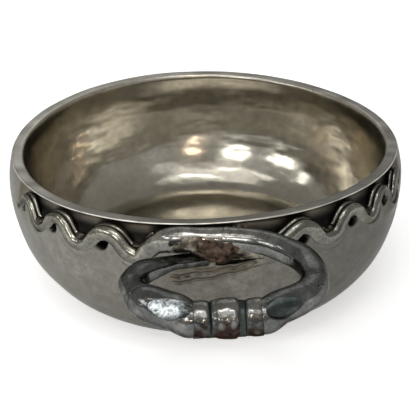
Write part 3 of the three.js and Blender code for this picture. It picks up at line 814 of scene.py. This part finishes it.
def bowl_rows():
    """Radius, height and share of the inside of each row, from the underside over the lip to the floor."""
    rows = [(BASE_RADIUS * share, 0.0, 0) for share in np.linspace(0.06, 0.985, 12)]
    turns = np.linspace(0, math.acos(1 - DETAIL_FROM / BELLY_HEIGHT), 30)
    lip = RIM_HEIGHT - WORN_LIP_ROUNDING
    fine = np.arange(DETAIL_FROM + 0.15, lip, ROW_STEP)
    heights = np.concatenate([BELLY_HEIGHT * (1 - np.cos(turns)), fine])
    rows += [(float(outer_radius(height)), height, 0) for height in heights]
    edge = RIM_RADIUS - WORN_LIP_ROUNDING
    for turn in np.linspace(0, math.pi / 2, 7):
        rows.append((edge + WORN_LIP_ROUNDING * math.cos(turn), lip + WORN_LIP_ROUNDING * math.sin(turn), 0))
    mouth = RIM_RADIUS - RIM_WIDTH
    top_to = mouth + MOUTH_ROUNDING
    rows += [(edge + (top_to - edge) * share, RIM_HEIGHT, 0.1) for share in (0.25, 0.5, 0.75)]
    start = RIM_HEIGHT - MOUTH_ROUNDING
    for share in np.linspace(0, 1, 8):
        turn = (1 + share) * math.pi / 2
        radius = top_to + MOUTH_ROUNDING * math.cos(turn)
        rows.append((radius, start + MOUTH_ROUNDING * math.sin(turn), 0.1 + 0.9 * share))
    hollow_radius = BELLY_RADIUS - WALL_THICKNESS
    for share in np.linspace(0.1, 0.9, 9):
        radius = mouth + (hollow_radius - mouth) * math.sin(share * math.pi / 2)
        rows.append((radius, start + (BELLY_HEIGHT - start) * share, 1))
    for turn in np.linspace(math.pi / 2, 0, 40):
        radius = BASE_RADIUS + (hollow_radius - BASE_RADIUS) * math.sin(turn)
        rows.append((radius, BELLY_HEIGHT - (BELLY_HEIGHT - FLOOR_THICKNESS) * math.cos(turn), 1))
    return rows + [(BASE_RADIUS * share, FLOOR_THICKNESS, 1) for share in np.linspace(0.96, 0.05, 18)]


def bowl_mesh():
    front = np.arange(-FRONT_SPAN, FRONT_SPAN, FRONT_COLUMN)
    rear = np.arange(FRONT_SPAN, TURN - FRONT_SPAN - REAR_COLUMN / 2, REAR_COLUMN)
    columns = np.concatenate([front, rear])
    columns = np.where(columns > math.pi, columns - TURN, columns)
    side, radius, z, inside = np.broadcast_arrays(columns, *np.array(bowl_rows()).T[:, :, None])

    # the channel; below each wire the wall swells a little to meet it
    outer = (inside < 0.05) & (z > DETAIL_FROM + 0.1) & (radius > BASE_RADIUS) & (z <= RIM_HEIGHT)
    depth = np.where(outer, cut_depth(z, side), 0)
    edge, wire_depth, above = near_wire(side, z)
    past_edge = np.maximum(edge, 0)
    low = ramp(CHANNEL_FOOT + 3.6, CHANNEL_FOOT + 1.4, z + above)
    bead = 0.35 * hump(np.maximum(edge, -0.1), 0.55) + 0.42 * hump(np.maximum(edge, -0.1), 1.9)
    fillet = np.where(above > 0, bead, 0) * (0.35 + 0.65 * low)
    opened = np.where(outer, hole_share(side, z), 0)
    valley = np.where(above < 0, hump(past_edge, 0.7), 0) * low
    swell = np.maximum(wire_depth * fillet * (1 - opened), 0.5 * depth * valley)
    radius = np.where(outer, radius - depth + swell, radius)

    # smeared solder along the foot of the wire that passes under the ring
    degrees = side / DEG
    streak_at = 20.1 + 0.138 * degrees + 0.15 * np.sin(0.9 * degrees) + 0.08 * np.sin(2.3 * degrees + 1)
    over = z - streak_at
    along_smear = ramp(-13.5, -9, degrees) * ramp(11, 7.5, degrees)
    ridge = hump(over - 0.95, 0.5) + 0.55 * hump(over - 2.3, 0.45)
    groove = hump(over, 0.3) + 0.6 * hump(over - 1.65, 0.25)
    radius = radius + np.where(outer, (0.42 * ridge - 0.3 * groove) * along_smear, 0)

    # the dents of the hammer, drawn out round the bowl inside, and its uneven lip
    points = polar(radius, side, z)
    dimple = undulation(points, 13, 3) * 0.06 + undulation(points, 5.5, 4) * 0.016
    drawn_round = points * np.array([0.55, 0.55, 1.5])
    hammer = undulation(drawn_round, 9, 5) * 0.06 + undulation(drawn_round, 4.6, 6) * 0.03
    wall_share = ramp(1, 5, z) * ramp(RIM_HEIGHT + 0.1, RIM_HEIGHT - 2, z)
    points += polar(np.where(inside > 0.5, -hammer, dimple) * wall_share, side, 0)
    points[..., 2] += hammer * np.where(inside > 0.5, ramp(9, 2.2, z), 0)
    points[..., 2] -= 0.05 * np.abs(undulation(points, 16, 7)) * ramp(RIM_HEIGHT - 1, RIM_HEIGHT, z)

    # painted shade: near black where the channel is deep, along the wires' edges and in the holes under the
    # crests
    shade = ramp(0.5, 1.5, depth) * ramp(RIM_HEIGHT - 1.3, RIM_HEIGHT - 3.3, z)
    shade_by_wire = hump(past_edge, 0.7) * 0.7 * ramp(0.15, 0.9, depth)
    grime = np.maximum(np.where(outer, np.maximum(shade * 0.95, shade_by_wire), 0), opened)
    grime *= ramp(0.02, -0.1, past_waves(side))
    smears = 0.35 * undulation(points * np.array([0.16, 0.16, 1.3]), 1.5, 8)
    streak = groove * along_smear * (0.6 + smears)
    halo = hump(over - 1.6, 2.0) * along_smear * (0.55 + smears)
    in_cove = ramp(0.05, 0.4, depth) * (1 - shade) * 0.62
    # inside, under the lip, the silver is painted yellower and darker, most at the left: partly yellowing,
    # partly a painted darker reflection
    yellowing_and_dark_reflection = 0.16 - 0.08 * np.cos(side - 165 * DEG) + 0.24 * ramp(0, -1, np.sin(side))
    yellowing_and_dark_reflection = np.clip(yellowing_and_dark_reflection + 0.10 * undulation(points, 14, 10), 0.03, 0.7) * ramp(20, 28, z)
    brown = np.where(inside > 0.5, yellowing_and_dark_reflection, np.where(outer, np.max([in_cove, streak, halo], 0), 0))
    patchy = 1 + 0.4 * undulation(points, 5, 9)
    # the lip's top is lighter away from the front and more so on the left: partly wear, partly painted light
    rim = ramp(RIM_HEIGHT - WORN_LIP_ROUNDING - 0.05, RIM_HEIGHT - 0.1, z) * patchy
    rim *= 0.04 + ramp(0.5, 1.3, np.abs(side)) * np.where(side < 0, 0.34, 0.2)
    # a painted highlight: a thin light line along the lip's outer edge
    painted_edge_highlight = hump(z - RIM_HEIGHT + 0.17, 0.12) * (inside < 0.05) * (z > 29)
    rim = np.maximum(rim, painted_edge_highlight * (0.95 + 0.3 * undulation(points, 3, 12)))
    shades = {"inside": inside, "grime": grime, "brown": brown, "rim": rim}
    floor_pole = (0.0, 0.0, FLOOR_THICKNESS + float(hammer[-1].mean()))
    return skin("bowl_shell", hand_raised(points), (0.0, 0.0, 0.0), floor_pole, SILVER, shades)


place("bowl_shell", bowl_mesh(), "silver_bowl", "bowl")


# The serpents' meshes

WIRE_TREE = forged_wire_tree()


def wire_mesh(name, spec, rows, sides, squareness, roundings, level=False):
    """The forged wire along a path; its broad side lies level, or flat on the wall."""
    path, depth, width = spec
    base = bpy.data.meshes.new(name + "_line")
    base.from_pydata((hand_raised(path) * MM).tolist(), [(i, i + 1) for i in range(len(path) - 1)], [])
    write_attribute(base, "half_out", depth * MM)
    write_attribute(base, "half_across", width * MM)
    outward = polar(0, 0, np.ones(len(path))) if level else polar(1, side_of(path), 0)
    attribute = base.attributes.new("outward", "FLOAT_VECTOR", "POINT")
    attribute.data.foreach_set("vector", outward.astype(np.float32).ravel())
    return run_tree(name, WIRE_TREE, base, {
        "Rows": rows, "Sides": sides, "Squareness": squareness,
        "Start Rounding": roundings[0] * MM, "End Rounding": roundings[1] * MM, "Finish": SERPENT,
    })


def knocked(mesh, amount, wavelength, seed):
    """Leaves a wire with the dents of hammer and wear."""
    points = read_points(mesh)
    bumps = undulation(points, wavelength, seed) * amount
    write_points(mesh, points + read_vectors(mesh, "normal") * bumps[:, None])


def crease(mesh, angle, width, depth):
    """A fine groove round a wire where it lies so far round the ring."""
    points = read_points(mesh)
    groove = hump((way_round(points) - angle) * RING_HALF_DEPTH, width)
    groove *= points[:, 2] > RING_HEIGHT - CREASE_FOOT
    write_points(mesh, points - read_vectors(mesh, "normal") * (groove * depth)[:, None])


def painted_top_light(normals):
    """Painted light: how much lighter a wire is painted, most where it faces up."""
    return 0.12 + 0.88 * ramp(-0.1, 0.5, normals[:, 2])


def tail_shades(mesh, behind=False):
    """Warm worn silver on the waves, dark like the ring where the tail reaches it; also painted light and
    shade.
    """
    points = read_points(mesh)
    front, flank = read_shade(mesh, "front"), read_shade(mesh, "flank")
    on_ring = ramp(CLIMB_MIDDLE + 0.05, CLIMB_TOP, np.abs(side_of(points)))
    on_ring *= points[:, 2] > UNDER_HEIGHT + 2
    # painted shade on the wire's back, which faces the wall
    grime = ramp(-0.15, -0.6, front) * 0.9
    if behind:
        # painted shade in the groove between the strands, on the strand's front and back
        grime = ramp(0.35, 0.75, front) * 0.9 + ramp(-0.2, -0.6, front)
    # painted light: lighter where the wire faces up, darker towards the right
    painted_light = painted_top_light(read_vectors(mesh, "normal")) * (1 - 0.6 * ramp(-5, 8, points[:, 0]))
    # painted glints on the wire's flanks
    glints = ramp(0.2, 0.8, np.abs(flank)) * 0.04 * (0.8 + 0.3 * undulation(points, 4, 21))
    write_shades(
        mesh, grime=grime, worn=painted_light * (0.82 + 0.3 * undulation(points, 3, 22)),
        bright=glints * (1 - on_ring), warm=1 - on_ring,
    )


def strand_behind(spec):
    """The wire's root along the channel's floor, seen behind the waves as a second, lower strand."""
    path, depth, width = spec
    keep = (np.abs(side_of(path)) > CLIMB_MIDDLE - 0.02) & (path[:, 2] < RING_HEIGHT - 1.0)
    keep &= np.arange(len(path)) > 3
    path, depth, width = path[keep], depth[keep], width[keep]
    radius = np.hypot(path[:, 0], path[:, 1])
    half_depth = np.minimum(depth * 0.86, STRAND_HALF_DEPTH)
    inner = radius - depth * 0.14 - 0.12 - half_depth
    return polar(inner, side_of(path), path[:, 2] + 0.3), half_depth, width * 0.92


def serpent_tail(name, spec, end_rounding, seed):
    tail = wire_mesh(name, spec, rows=460, sides=36, squareness=2.05, roundings=(0.7, end_rounding))
    knocked(tail, amount=0.04, wavelength=4.5, seed=seed)
    tail_shades(tail)
    behind = strand_behind(spec)
    strand = wire_mesh(name + "_strand", behind, rows=380, sides=24, squareness=2.0, roundings=(0.5, 0.5))
    knocked(strand, amount=0.05, wavelength=3.5, seed=seed + 100)
    tail_shades(strand, behind=True)
    return joined(tail, strand)


def press_dish(mesh, way, dish, head_radius):
    """Hollows a head's front as a round tool would; gives how far in and along the hollow each point lies."""
    angle = front_angle(dish["offset"], way)
    tangent = ring_point(angle + 0.001) - ring_point(angle - 0.001)
    along = knop_point(0) - knop_point(1) + tangent / np.linalg.norm(tangent)
    along /= np.linalg.norm(along)
    level = np.cross(along, [0.0, 0.0, 1.0])
    level *= -np.sign(level[1])
    facing = level * math.cos(dish["tilt"]) + np.array([0, 0, math.sin(dish["tilt"])])
    across = np.cross(facing, along)
    across *= np.sign(across[2])
    centre = hand_raised(ring_point(angle))
    points = read_points(mesh)
    local = points - centre
    sideways = local @ along * np.sign(centre[0]) * np.sign(along[0])
    upward, outward = local @ across, local @ facing
    tool = 2 * DISH_DEPTH
    grow = 1 / math.sqrt(1 - (1 - DISH_DEPTH / tool) ** 2)
    middle = math.sqrt(head_radius**2 - dish["half_height"] ** 2) + tool - DISH_DEPTH
    # its upper edge curves over, its lower edge runs straight and sharp
    half_height = dish["half_height"] * np.where(upward > 0, 1.08, 0.98)
    half_length = np.where(sideways > 0, dish["out"], dish["in"])
    reach = np.hypot(sideways / half_length, upward / half_height) / grow
    floor = middle - tool * np.sqrt(np.clip(1 - reach**2, 0, 1))
    in_front = outward > 0.6
    soft = 0.07
    sunk = soft * np.logaddexp(0, (outward - floor) / soft)
    press = np.where((reach < 1) & in_front, sunk, 0) * ramp(1, 0.93, reach**2)
    rim = 0.06 * hump(reach - 1.0, 0.13) * in_front
    write_points(mesh, points + facing * (rim - press)[:, None])
    return np.where(in_front, ramp(0.02, 0.16, press), 0), sideways


def neck_shades(mesh, dish, seam_dark, way):
    pressed, sideways = dish
    points, normals = read_points(mesh), read_vectors(mesh, "normal")
    along, front = read_shade(mesh, "along"), read_shade(mesh, "front")
    is_arm = way < 0
    # painted shade on the neck's underside
    inner = ramp(-0.5, -0.9, front) * 0.3
    ends = np.maximum(ramp(seam_dark, 0, along) * 0.2, ramp(0.99, 1.0, along) * 0.3)
    # painted shade on the arm's flank that faces the ring's middle and down
    shade_under_arm = ramp(0.1, 0.6, -normals[:, 1]) * ramp(0.35, -0.1, normals[:, 2])
    shade_under_arm *= ramp(0.42, 0.32, along) * is_arm
    # painted shade in the crease behind the left head
    shade_in_crease = hump((way_round(points) - CREASE_AT) * RING_HALF_DEPTH, 0.14) * is_arm
    shade_in_crease *= points[:, 2] > RING_HEIGHT - CREASE_FOOT
    # under the head: brown pitting, darkened further as painted shade
    low = ramp(0.1, -0.5, front) * ramp(0.6, 0.75, along)
    if is_arm:
        # painted reflection: the left head's hollow is painted bright and speckled, except towards the knop
        reflection_speckle = 0.95 + 0.35 * undulation(points, 1.5, 31) + 0.3 * undulation(points, 0.6, 32)
        write_shades(mesh, bright=pressed * ramp(-2.9, -1.0, sideways) * reflection_speckle, tarnish=pressed * 0.8)
        drawn = undulation(points * np.array([0.22, 1.0, 1.0]), 0.9, 37)
        streaks, arc = ramp(0.3, 0.18, along) * (0.25 + 0.35 * drawn), 0
    else:
        uneven = 0.85 + 0.3 * undulation(points, 1.2, 36)
        write_shades(mesh, tarnish=pressed * ramp(5.4, 2.2, sideways) * uneven)
        # on the ring's rear arc, painted light lightens the top
        streaks, arc = 0, ramp(0.22, 0.08, along)
    write_shades(
        mesh,
        grime=np.max([ends, inner, shade_in_crease * 0.6, shade_under_arm * 0.55], 0),
        pitted=low + ramp(0.45, 0.6, undulation(points, 5, 33) * ramp(0.55, 0.7, along)),
        brown=np.maximum(low * (0.35 + 0.4 * undulation(points, 2.5, 34)), streaks),
        worn=arc * painted_top_light(normals) + 0.25 * (1 - arc) * ramp(0.2, 1.2, undulation(points, 3.0, 35)),
    )


def serpent_neck(name, spec, rows, start_rounding, seed, way, dish, head_radius, seam_dark):
    neck = wire_mesh(name, spec, rows, sides=88, squareness=2.12, roundings=(start_rounding, 0.1), level=True)
    knocked(neck, amount=0.05, wavelength=6, seed=seed)
    if way < 0:
        crease(neck, CREASE_AT, width=0.12, depth=0.14)
    neck_shades(neck, press_dish(neck, way, dish, head_radius), seam_dark, way)
    return neck


left_tail = serpent_tail("left_tail", LEFT_TAIL, end_rounding=0.03, seed=11)
place("left_tail", left_tail, "silver_serpents", "left_serpent_tail")
right_tail = serpent_tail("right_tail", RIGHT_TAIL, end_rounding=0.6, seed=12)
place("right_tail", right_tail, "silver_serpents", "right_serpent_tail")
# the left serpent's head is at the ring's right, and the other way round
left_neck = serpent_neck(
    "left_neck", LEFT_NECK, rows=380, start_rounding=0.03, seed=13, way=1,
    dish=RIGHT_DISH, head_radius=RIGHT_HEAD_RADIUS, seam_dark=0.003,
)
place("left_neck", left_neck, "silver_serpents", "left_serpent_neck")
right_neck = serpent_neck(
    "right_neck", RIGHT_NECK, rows=420, start_rounding=0.8, seed=14, way=-1,
    dish=LEFT_DISH, head_radius=LEFT_HEAD_RADIUS, seam_dark=0.01,
)
place("right_neck", right_neck, "silver_serpents", "right_serpent_neck")


# The knop's meshes

def turned(name, profile, middle, seed):
    """A piece turned about the knop's axis; its profile gives radius and distance along the axis."""
    angles = np.linspace(0, TURN, 96, endpoint=False)[:, None]
    axis = knop_point(1) - knop_point(0)
    up = np.array([0.0, 0.0, 1.0])
    centre = hand_raised(knop_point(middle))
    radius, along = np.array(profile).T[:, :, None, None]
    grid = centre + axis * along + radius * (np.cos(angles) * up + np.sin(angles) * np.cross(axis, up))
    outward = grid - (centre + axis * along)
    outward /= np.maximum(np.linalg.norm(outward, axis=2), 1e-6)[..., None]
    lift, radius = outward[..., 2], radius[..., 0]
    worn = undulation(grid, 3.2, seed) * 0.07 + undulation(grid, 1.1, seed + 1) * 0.02
    # below, where the knop lies on the table and in the hand, the grooves have worn flush
    flush = np.maximum(FLUSH_RADIUS - radius, 0) * ramp(-0.2, -0.8, lift) * ramp(2.3, 2.5, radius)
    grid = grid + outward * (worn * ramp(0.4, 1.8, radius) + flush)[..., None]
    # below: brown pitting, darkened further as painted shade
    low = ramp(0.48, -0.15, lift + 0.16 * undulation(grid, 1.2, seed + 3)) * ramp(0.6, -0.2, outward[..., 1])
    groove = ramp(2.84, 2.6, radius) * np.ones(lift.shape)
    shades = {
        # painted shade in the grooves, over their tarnish
        "grime": groove * 0.35,
        "tarnish": groove,
        "brown": low * (1.0 + 0.4 * undulation(grid, 1.6, seed + 2)) * (1 - 0.8 * groove),
        # painted light: lighter where the knop faces up
        "worn": 0.4 * ramp(0.35, 0.75, lift + 0.1 * undulation(grid, 1.4, seed + 4)),
        "pitted": low * (1 - groove),
    }
    start, end = (centre + axis * profile[row][1] for row in (0, -1))
    return skin(name, grid, start, end, SERPENT, shades)


def spline_profile(points):
    path, _, _ = smooth_path([(radius, along, 0.0) for radius, along in points], 16, 0.09)
    return path[:, :2].tolist()


def barrel_profile():
    half = BARREL_WIDTH / 2
    end = half + GROOVE_WIDTH
    left = [(0.3, -end), (2.5, -end), (2.6, -end + 0.12), (2.76, -end + 0.35), (2.9, -half - 0.1)]
    middle = [(BARREL_RADIUS - 0.06, -half + 0.3), (BARREL_RADIUS, -0.3), (BARREL_RADIUS - 0.02, half - 0.5)]
    right = [(2.94, half - 0.3), (2.68, half), (2.6, half + 0.3), (2.6, end - 0.1), (2.58, end), (0.3, end)]
    return spline_profile(left + middle + right)


def bead_profile(way):
    """A bead that is worn almost flush with its head, and falls off towards the barrel."""
    half = BEAD_WIDTH / 2 + CLEARANCE - KNOP_SEAM
    by_head = [(0.3, -half), (2.62, -half), (2.70, -half + 0.05), (2.80, -half + 0.3), (BEAD_RADIUS, -0.3)]
    by_barrel = [(BEAD_RADIUS, 0.3), (2.78, half - 0.5), (2.64, half - 0.15), (2.5, half), (0.3, half)]
    outline = [(radius, way * along) for radius, along in by_head + by_barrel]
    return spline_profile(outline[::way])


for name, profile, middle, seed in (
    ("barrel", barrel_profile(), 0, 41),
    ("left_bead", bead_profile(1), -BEAD_PLACE, 51),
    ("right_bead", bead_profile(-1), BEAD_PLACE, 61),
):
    place(name, turned(name, profile, middle, seed), "silver_serpents", "knop_" + name)


# The solder's meshes

LUMP_REACH = 0.062  # how far a lump reaches to each side of its trough's middle, as an angle


def lump_mesh(name, middle, reach, z, half_height, half_depth, seed, unevenness, sink, **shades):
    """A lump of solder on the channel's floor, drawn out along the wall."""
    poles = np.linspace(0, math.pi, 28)[1:-1]
    pole, turn = np.meshgrid(poles, np.linspace(0, TURN, 36, endpoint=False), indexing="ij")
    side = middle - reach * np.cos(pole)

    def bed(side):
        return wall_radius(z, side) + CLEARANCE + half_depth - sink

    out = half_depth * np.sin(pole) * np.cos(turn)
    grid = polar(bed(side) + out, side, z + half_height * np.sin(pole) * np.sin(turn))
    centre = polar(bed(side), side, z)
    swell = 1 + unevenness * undulation(grid, 1.6, seed) + 0.4 * unevenness * undulation(grid, 0.7, seed + 1)
    grid = centre + (grid - centre) * swell[..., None]
    ends = [hand_raised(polar(bed(s), s, z)) for s in (middle - reach, middle + reach)]
    shades = {key: np.full(pole.shape, value) for key, value in shades.items()}
    return skin(name, hand_raised(grid), *ends, SOLDER, shades)


def valley_lumps(side_name, wave, sign, count, first_turn):
    """Lumps that fill the valleys over the first troughs of one tail."""
    for number in range(1, count + 1):
        turns = number - 1 + first_turn
        z = wave_point(wave, turns, sign)[2] + float(tail_size(1 - turns / wave["turns"])[1]) + 0.1
        name = f"{side_name}_lump_{number}"
        # the lumps are painted half dark with the painted shade of the valleys they fill
        mesh = lump_mesh(
            name, sign * wave_angle(wave, turns), LUMP_REACH, z, half_height=0.75, half_depth=0.8,
            seed=(70 if sign < 0 else 80) + number, unevenness=0.3, sink=0.55, grime=0.5, pale=0.45,
        )
        place(name, mesh, "solder", f"solder_{side_name}_trough_{number}")


valley_lumps("left", LEFT_WAVE, -1, count=3, first_turn=0)
valley_lumps("right", RIGHT_WAVE, 1, count=2, first_turn=1)

# Outline of the crossing's solder in the ring's own section, as distance out from the ring's axis and height
# over it: a crust that coats the front of the ring's rear and runs down to the wire under it
CRUST_OUTLINE = [
    (1.70, 1.18), (2.12, 0.55), (2.30, -0.10), (2.34, -0.85), (2.18, -1.60), (1.85, -2.30), (1.45, -2.95),
    (1.05, -3.55), (0.45, -4.15), (-0.45, -4.40), (-1.00, -3.40), (-0.60, -2.00), (0.20, -0.80), (1.00, 0.30),
]
CRUST_MIDDLE = np.array([1.0, -1.0])
CRUST_FROM, CRUST_TO = -13.5 * DEG, 10 * DEG
# How far to both sides and forward the rear of the ring is followed
REAR_SPAN = 0.33
REAR_REACH = 6.0
# Angle and half span in degrees, height, and half thickness of each drop
DROPS = [(4.4, 0.55, 29.35, 0.34), (5.7, 0.7, 29.45, 0.4), (7.2, 0.4, 29.2, 0.26)]


def ring_rear_at(side):
    """Distance from the bowl's axis and height of the ring's rear at an angle from the front."""
    path = np.vstack([LEFT_TAIL[0], LEFT_NECK[0]])
    path = path[(np.abs(side_of(path)) < REAR_SPAN) & (path[:, 1] > RING_REAR_Y - REAR_REACH)]
    path = path[np.argsort(side_of(path))]
    at = side_of(path)
    return np.interp(side, at, np.hypot(path[:, 0], path[:, 1])), np.interp(side, at, path[:, 2])


def crust_mesh():
    around, _, _ = smooth_path([(out, up, 0.0) for out, up in CRUST_OUTLINE + CRUST_OUTLINE[:1]], 16, 0.15)
    shares = np.linspace(0.008, 0.992, 170)[:, None]
    sides = CRUST_FROM + (CRUST_TO - CRUST_FROM) * shares
    degrees = sides / DEG
    ring_radius, ring_height = ring_rear_at(sides)
    taper = (np.sin(np.pi * shares) ** 0.3)[..., None]
    out, up = np.moveaxis(CRUST_MIDDLE + (around[None, :-1, :2] - CRUST_MIDDLE) * taper, 2, 0)
    # towards its left end the crust lies only on the ring; in the middle it runs down to the wire
    line = np.concatenate([12 * sides, 0 * sides, 0 * sides], 1)
    ragged = (undulation(line, 1.1, 96) * 0.12 + undulation(line, 0.45, 97) * 0.06)[:, None]
    drop = np.where(up < -0.6, (up + 0.6) * (0.42 + 0.58 * ramp(-10, -2, degrees) + ragged) - 0.6, up)
    rise = 1 - 0.75 * ramp(3, 6.5, degrees) - 2 * ragged
    drop = np.where(up > -0.2, (up + 0.2) * rise - 0.2, drop)
    out = out - 0.25 * ramp(3, 6.5, degrees) * ramp(-0.5, 0.5, up)
    grid = polar(ring_radius + out, sides, ring_height + drop)
    centre = polar(ring_radius + CRUST_MIDDLE[0], sides, ring_height + CRUST_MIDDLE[1])
    away = (grid - centre) / np.maximum(np.linalg.norm(grid - centre, axis=2), 1e-6)[..., None]
    rough = undulation(grid, 2.6, 91) * 0.10 + undulation(grid, 1.2, 92) * 0.045
    rough += undulation(grid, 0.55, 93) * 0.02
    grid = grid + away * (rough * (0.25 + 0.75 * ramp(0.8, -0.4, drop)))[..., None]
    edge = degrees + 0.9 * undulation(grid, 1.3, 94)
    pale = np.maximum(ramp(-3.0, -5.8, edge), ramp(4.0, 6, edge))
    patch = ramp(0.8, 2.2, degrees) * ramp(7.5, 6, degrees) * ramp(-0.9, -1.8, drop)
    patch = patch * (0.8 + 0.3 * undulation(grid, 1.0, 98))
    dark = np.maximum(ramp(0.8, 1.4, undulation(grid, 1.6, 95)), patch)
    ends = (hand_raised(centre[row, 0]) for row in (0, -1))
    return skin("crossing", hand_raised(grid), *ends, SOLDER, {"pale": pale, "grime": dark * 0.85})


def crossing_mesh():
    """The crust, and the few drops of solder that ran up between the ring and the lip."""
    mesh = crust_mesh()
    for number, (middle, half_span, z, half) in enumerate(DROPS):
        joined(mesh, lump_mesh(
            "drop", middle * DEG, half_span * DEG, z, half_height=half, half_depth=half,
            seed=110 + number, unevenness=0.22, sink=0.2, pale=0.75, grime=0.1,
        ))
    return mesh


place("crossing", crossing_mesh(), "solder", "solder_crossing")


# Floor, light and camera

FLOOR_HALF = 4.0  # metres, like the sizes and distances of the lights
LIGHT_AIM = Vector((0, 0, 0.015))
WINDOW_AWAY = 1.3
PANE = 0.105  # side of a window's pane
PANE_STEP = 5.9  # from pane to pane, in degrees
WINDOWS = [  # azimuth and elevation of the middle, panes across and up, brightness
    ("window_left", -150, 29, 3, 2, 8.5),
    ("window_right", -115, 25, 3, 2, 7),
    ("window_back_left", -92, 30, 1, 2, 7),
    ("upper_left", -149, 52, 2, 1, 5.5),
    ("upper_right", -117, 49, 2, 1, 4.5),
    ("roof", -158, 73, 2, 1, 4.5),
    ("front", 176, 68, 3, 1, 10),
]
LIGHTS = [  # azimuth, elevation, distance, width, height, power and colour
    ("lamp", 177.7, 26, 1.3, 0.05, 0.05, 0.7, (1.0, 0.8, 0.6)),
    ("room", 180, 47, 1.5, 1.6, 0.35, 1.0),
    ("skylight", -165, 66, 1.5, 1.3, 0.9, 5),
    ("back_screen", 8, 36, 1.5, 1.4, 0.5, 1.2),
]


def stage_floor():
    mesh = bpy.data.meshes.new("floor")
    corners = [(FLOOR_HALF * x, FLOOR_HALF * y, 0) for x, y in ((-1, -1), (1, -1), (1, 1), (-1, 1))]
    mesh.from_pydata(corners, [], [(0, 1, 2, 3)])
    floor = bpy.data.objects.new("floor", mesh)
    bpy.context.scene.collection.objects.link(floor)
    material = bpy.data.materials.new("pale_floor")
    material.use_nodes = True
    inputs = material.node_tree.nodes["Principled BSDF"].inputs
    for key, value in {
        "Base Color": (0.85, 0.85, 0.85, 1), "Emission Color": (1, 1, 1, 1), "Emission Strength": 0.5,
        "Roughness": 0.8, "Specular IOR Level": 0.1,
    }.items():
        inputs[key].default_value = value
    mesh.materials.append(material)


def soft_light(name, azimuth, elevation, distance, width, height, strength, colour=(1, 1, 1)):
    """An area light that faces the bowl; azimuth is from behind the bowl over its right side, in degrees."""
    light = bpy.data.lights.new(name, "AREA")
    light.shape = "RECTANGLE"
    light.size, light.size_y = width, height
    light.energy = strength
    light.color = colour
    lamp = bpy.data.objects.new(name, light)
    bpy.context.scene.collection.objects.link(lamp)
    turn, rise = azimuth * DEG, elevation * DEG
    away = Vector((math.sin(turn) * math.cos(rise), math.cos(turn) * math.cos(rise), math.sin(rise)))
    lamp.location = LIGHT_AIM + away * distance
    lamp.rotation_mode = "QUATERNION"
    lamp.rotation_quaternion = away.to_track_quat("Z", "Y")


def paned_window(name, azimuth, elevation, across, up, brightness):
    """A window of separate panes, whose reflections break up as those of a real one do."""
    for column in range(across):
        for row in range(up):
            turn = azimuth + (column - (across - 1) / 2) * PANE_STEP / math.cos(elevation * DEG)
            rise = elevation + (row - (up - 1) / 2) * PANE_STEP
            power = brightness * math.pi * PANE * PANE
            soft_light(f"{name}_{column}_{row}", turn, rise, WINDOW_AWAY, PANE, PANE, power)


def studio():
    stage_floor()
    for window in WINDOWS:
        paned_window(*window)
    for light in LIGHTS:
        soft_light(*light)
    world = bpy.data.worlds.new("studio")
    world.use_nodes = True
    background = world.node_tree.nodes["Background"].inputs
    background["Color"].default_value = (1.0, 0.985, 0.96, 1)
    background["Strength"].default_value = 0.42
    bpy.context.scene.world = world


# The photograph's viewpoint, in the part's frame
CAMERA_PLACE = (-7.54, -187.80, 108.75)
CAMERA_TURN = -2.3 * DEG
CAMERA_DIP = 0.462
CAMERA_ROLL = -0.036
CAMERA_LENS = 83.4
AIM_RIGHT = -0.0002
AIM_UP = -0.00682


def camera():
    data = bpy.data.cameras.new("camera")
    data.lens = CAMERA_LENS
    data.sensor_width = 36
    data.clip_start, data.clip_end = 0.01, 20
    view = bpy.data.objects.new("camera", data)
    bpy.context.scene.collection.objects.link(view)
    right = Vector((math.cos(CAMERA_TURN), math.sin(CAMERA_TURN), 0))
    level = Vector((-math.sin(CAMERA_TURN), math.cos(CAMERA_TURN), 0))
    ahead = level * math.cos(CAMERA_DIP) - Vector((0, 0, math.sin(CAMERA_DIP)))
    up = right.cross(ahead)
    x_axis = right * math.cos(CAMERA_ROLL) + up * math.sin(CAMERA_ROLL)
    y_axis = up * math.cos(CAMERA_ROLL) - right * math.sin(CAMERA_ROLL)
    ahead = (ahead + x_axis * AIM_RIGHT + y_axis * AIM_UP).normalized()
    x_axis = ahead.cross(y_axis).normalized()
    y_axis = x_axis.cross(ahead)
    turn = Matrix((x_axis, y_axis, -ahead)).transposed()
    view.matrix_world = Matrix.Translation(Vector(CAMERA_PLACE) * MM) @ turn.to_4x4()
    bpy.context.scene.camera = view


studio()
camera()
bpy.context.scene.view_settings.view_transform = "Standard"
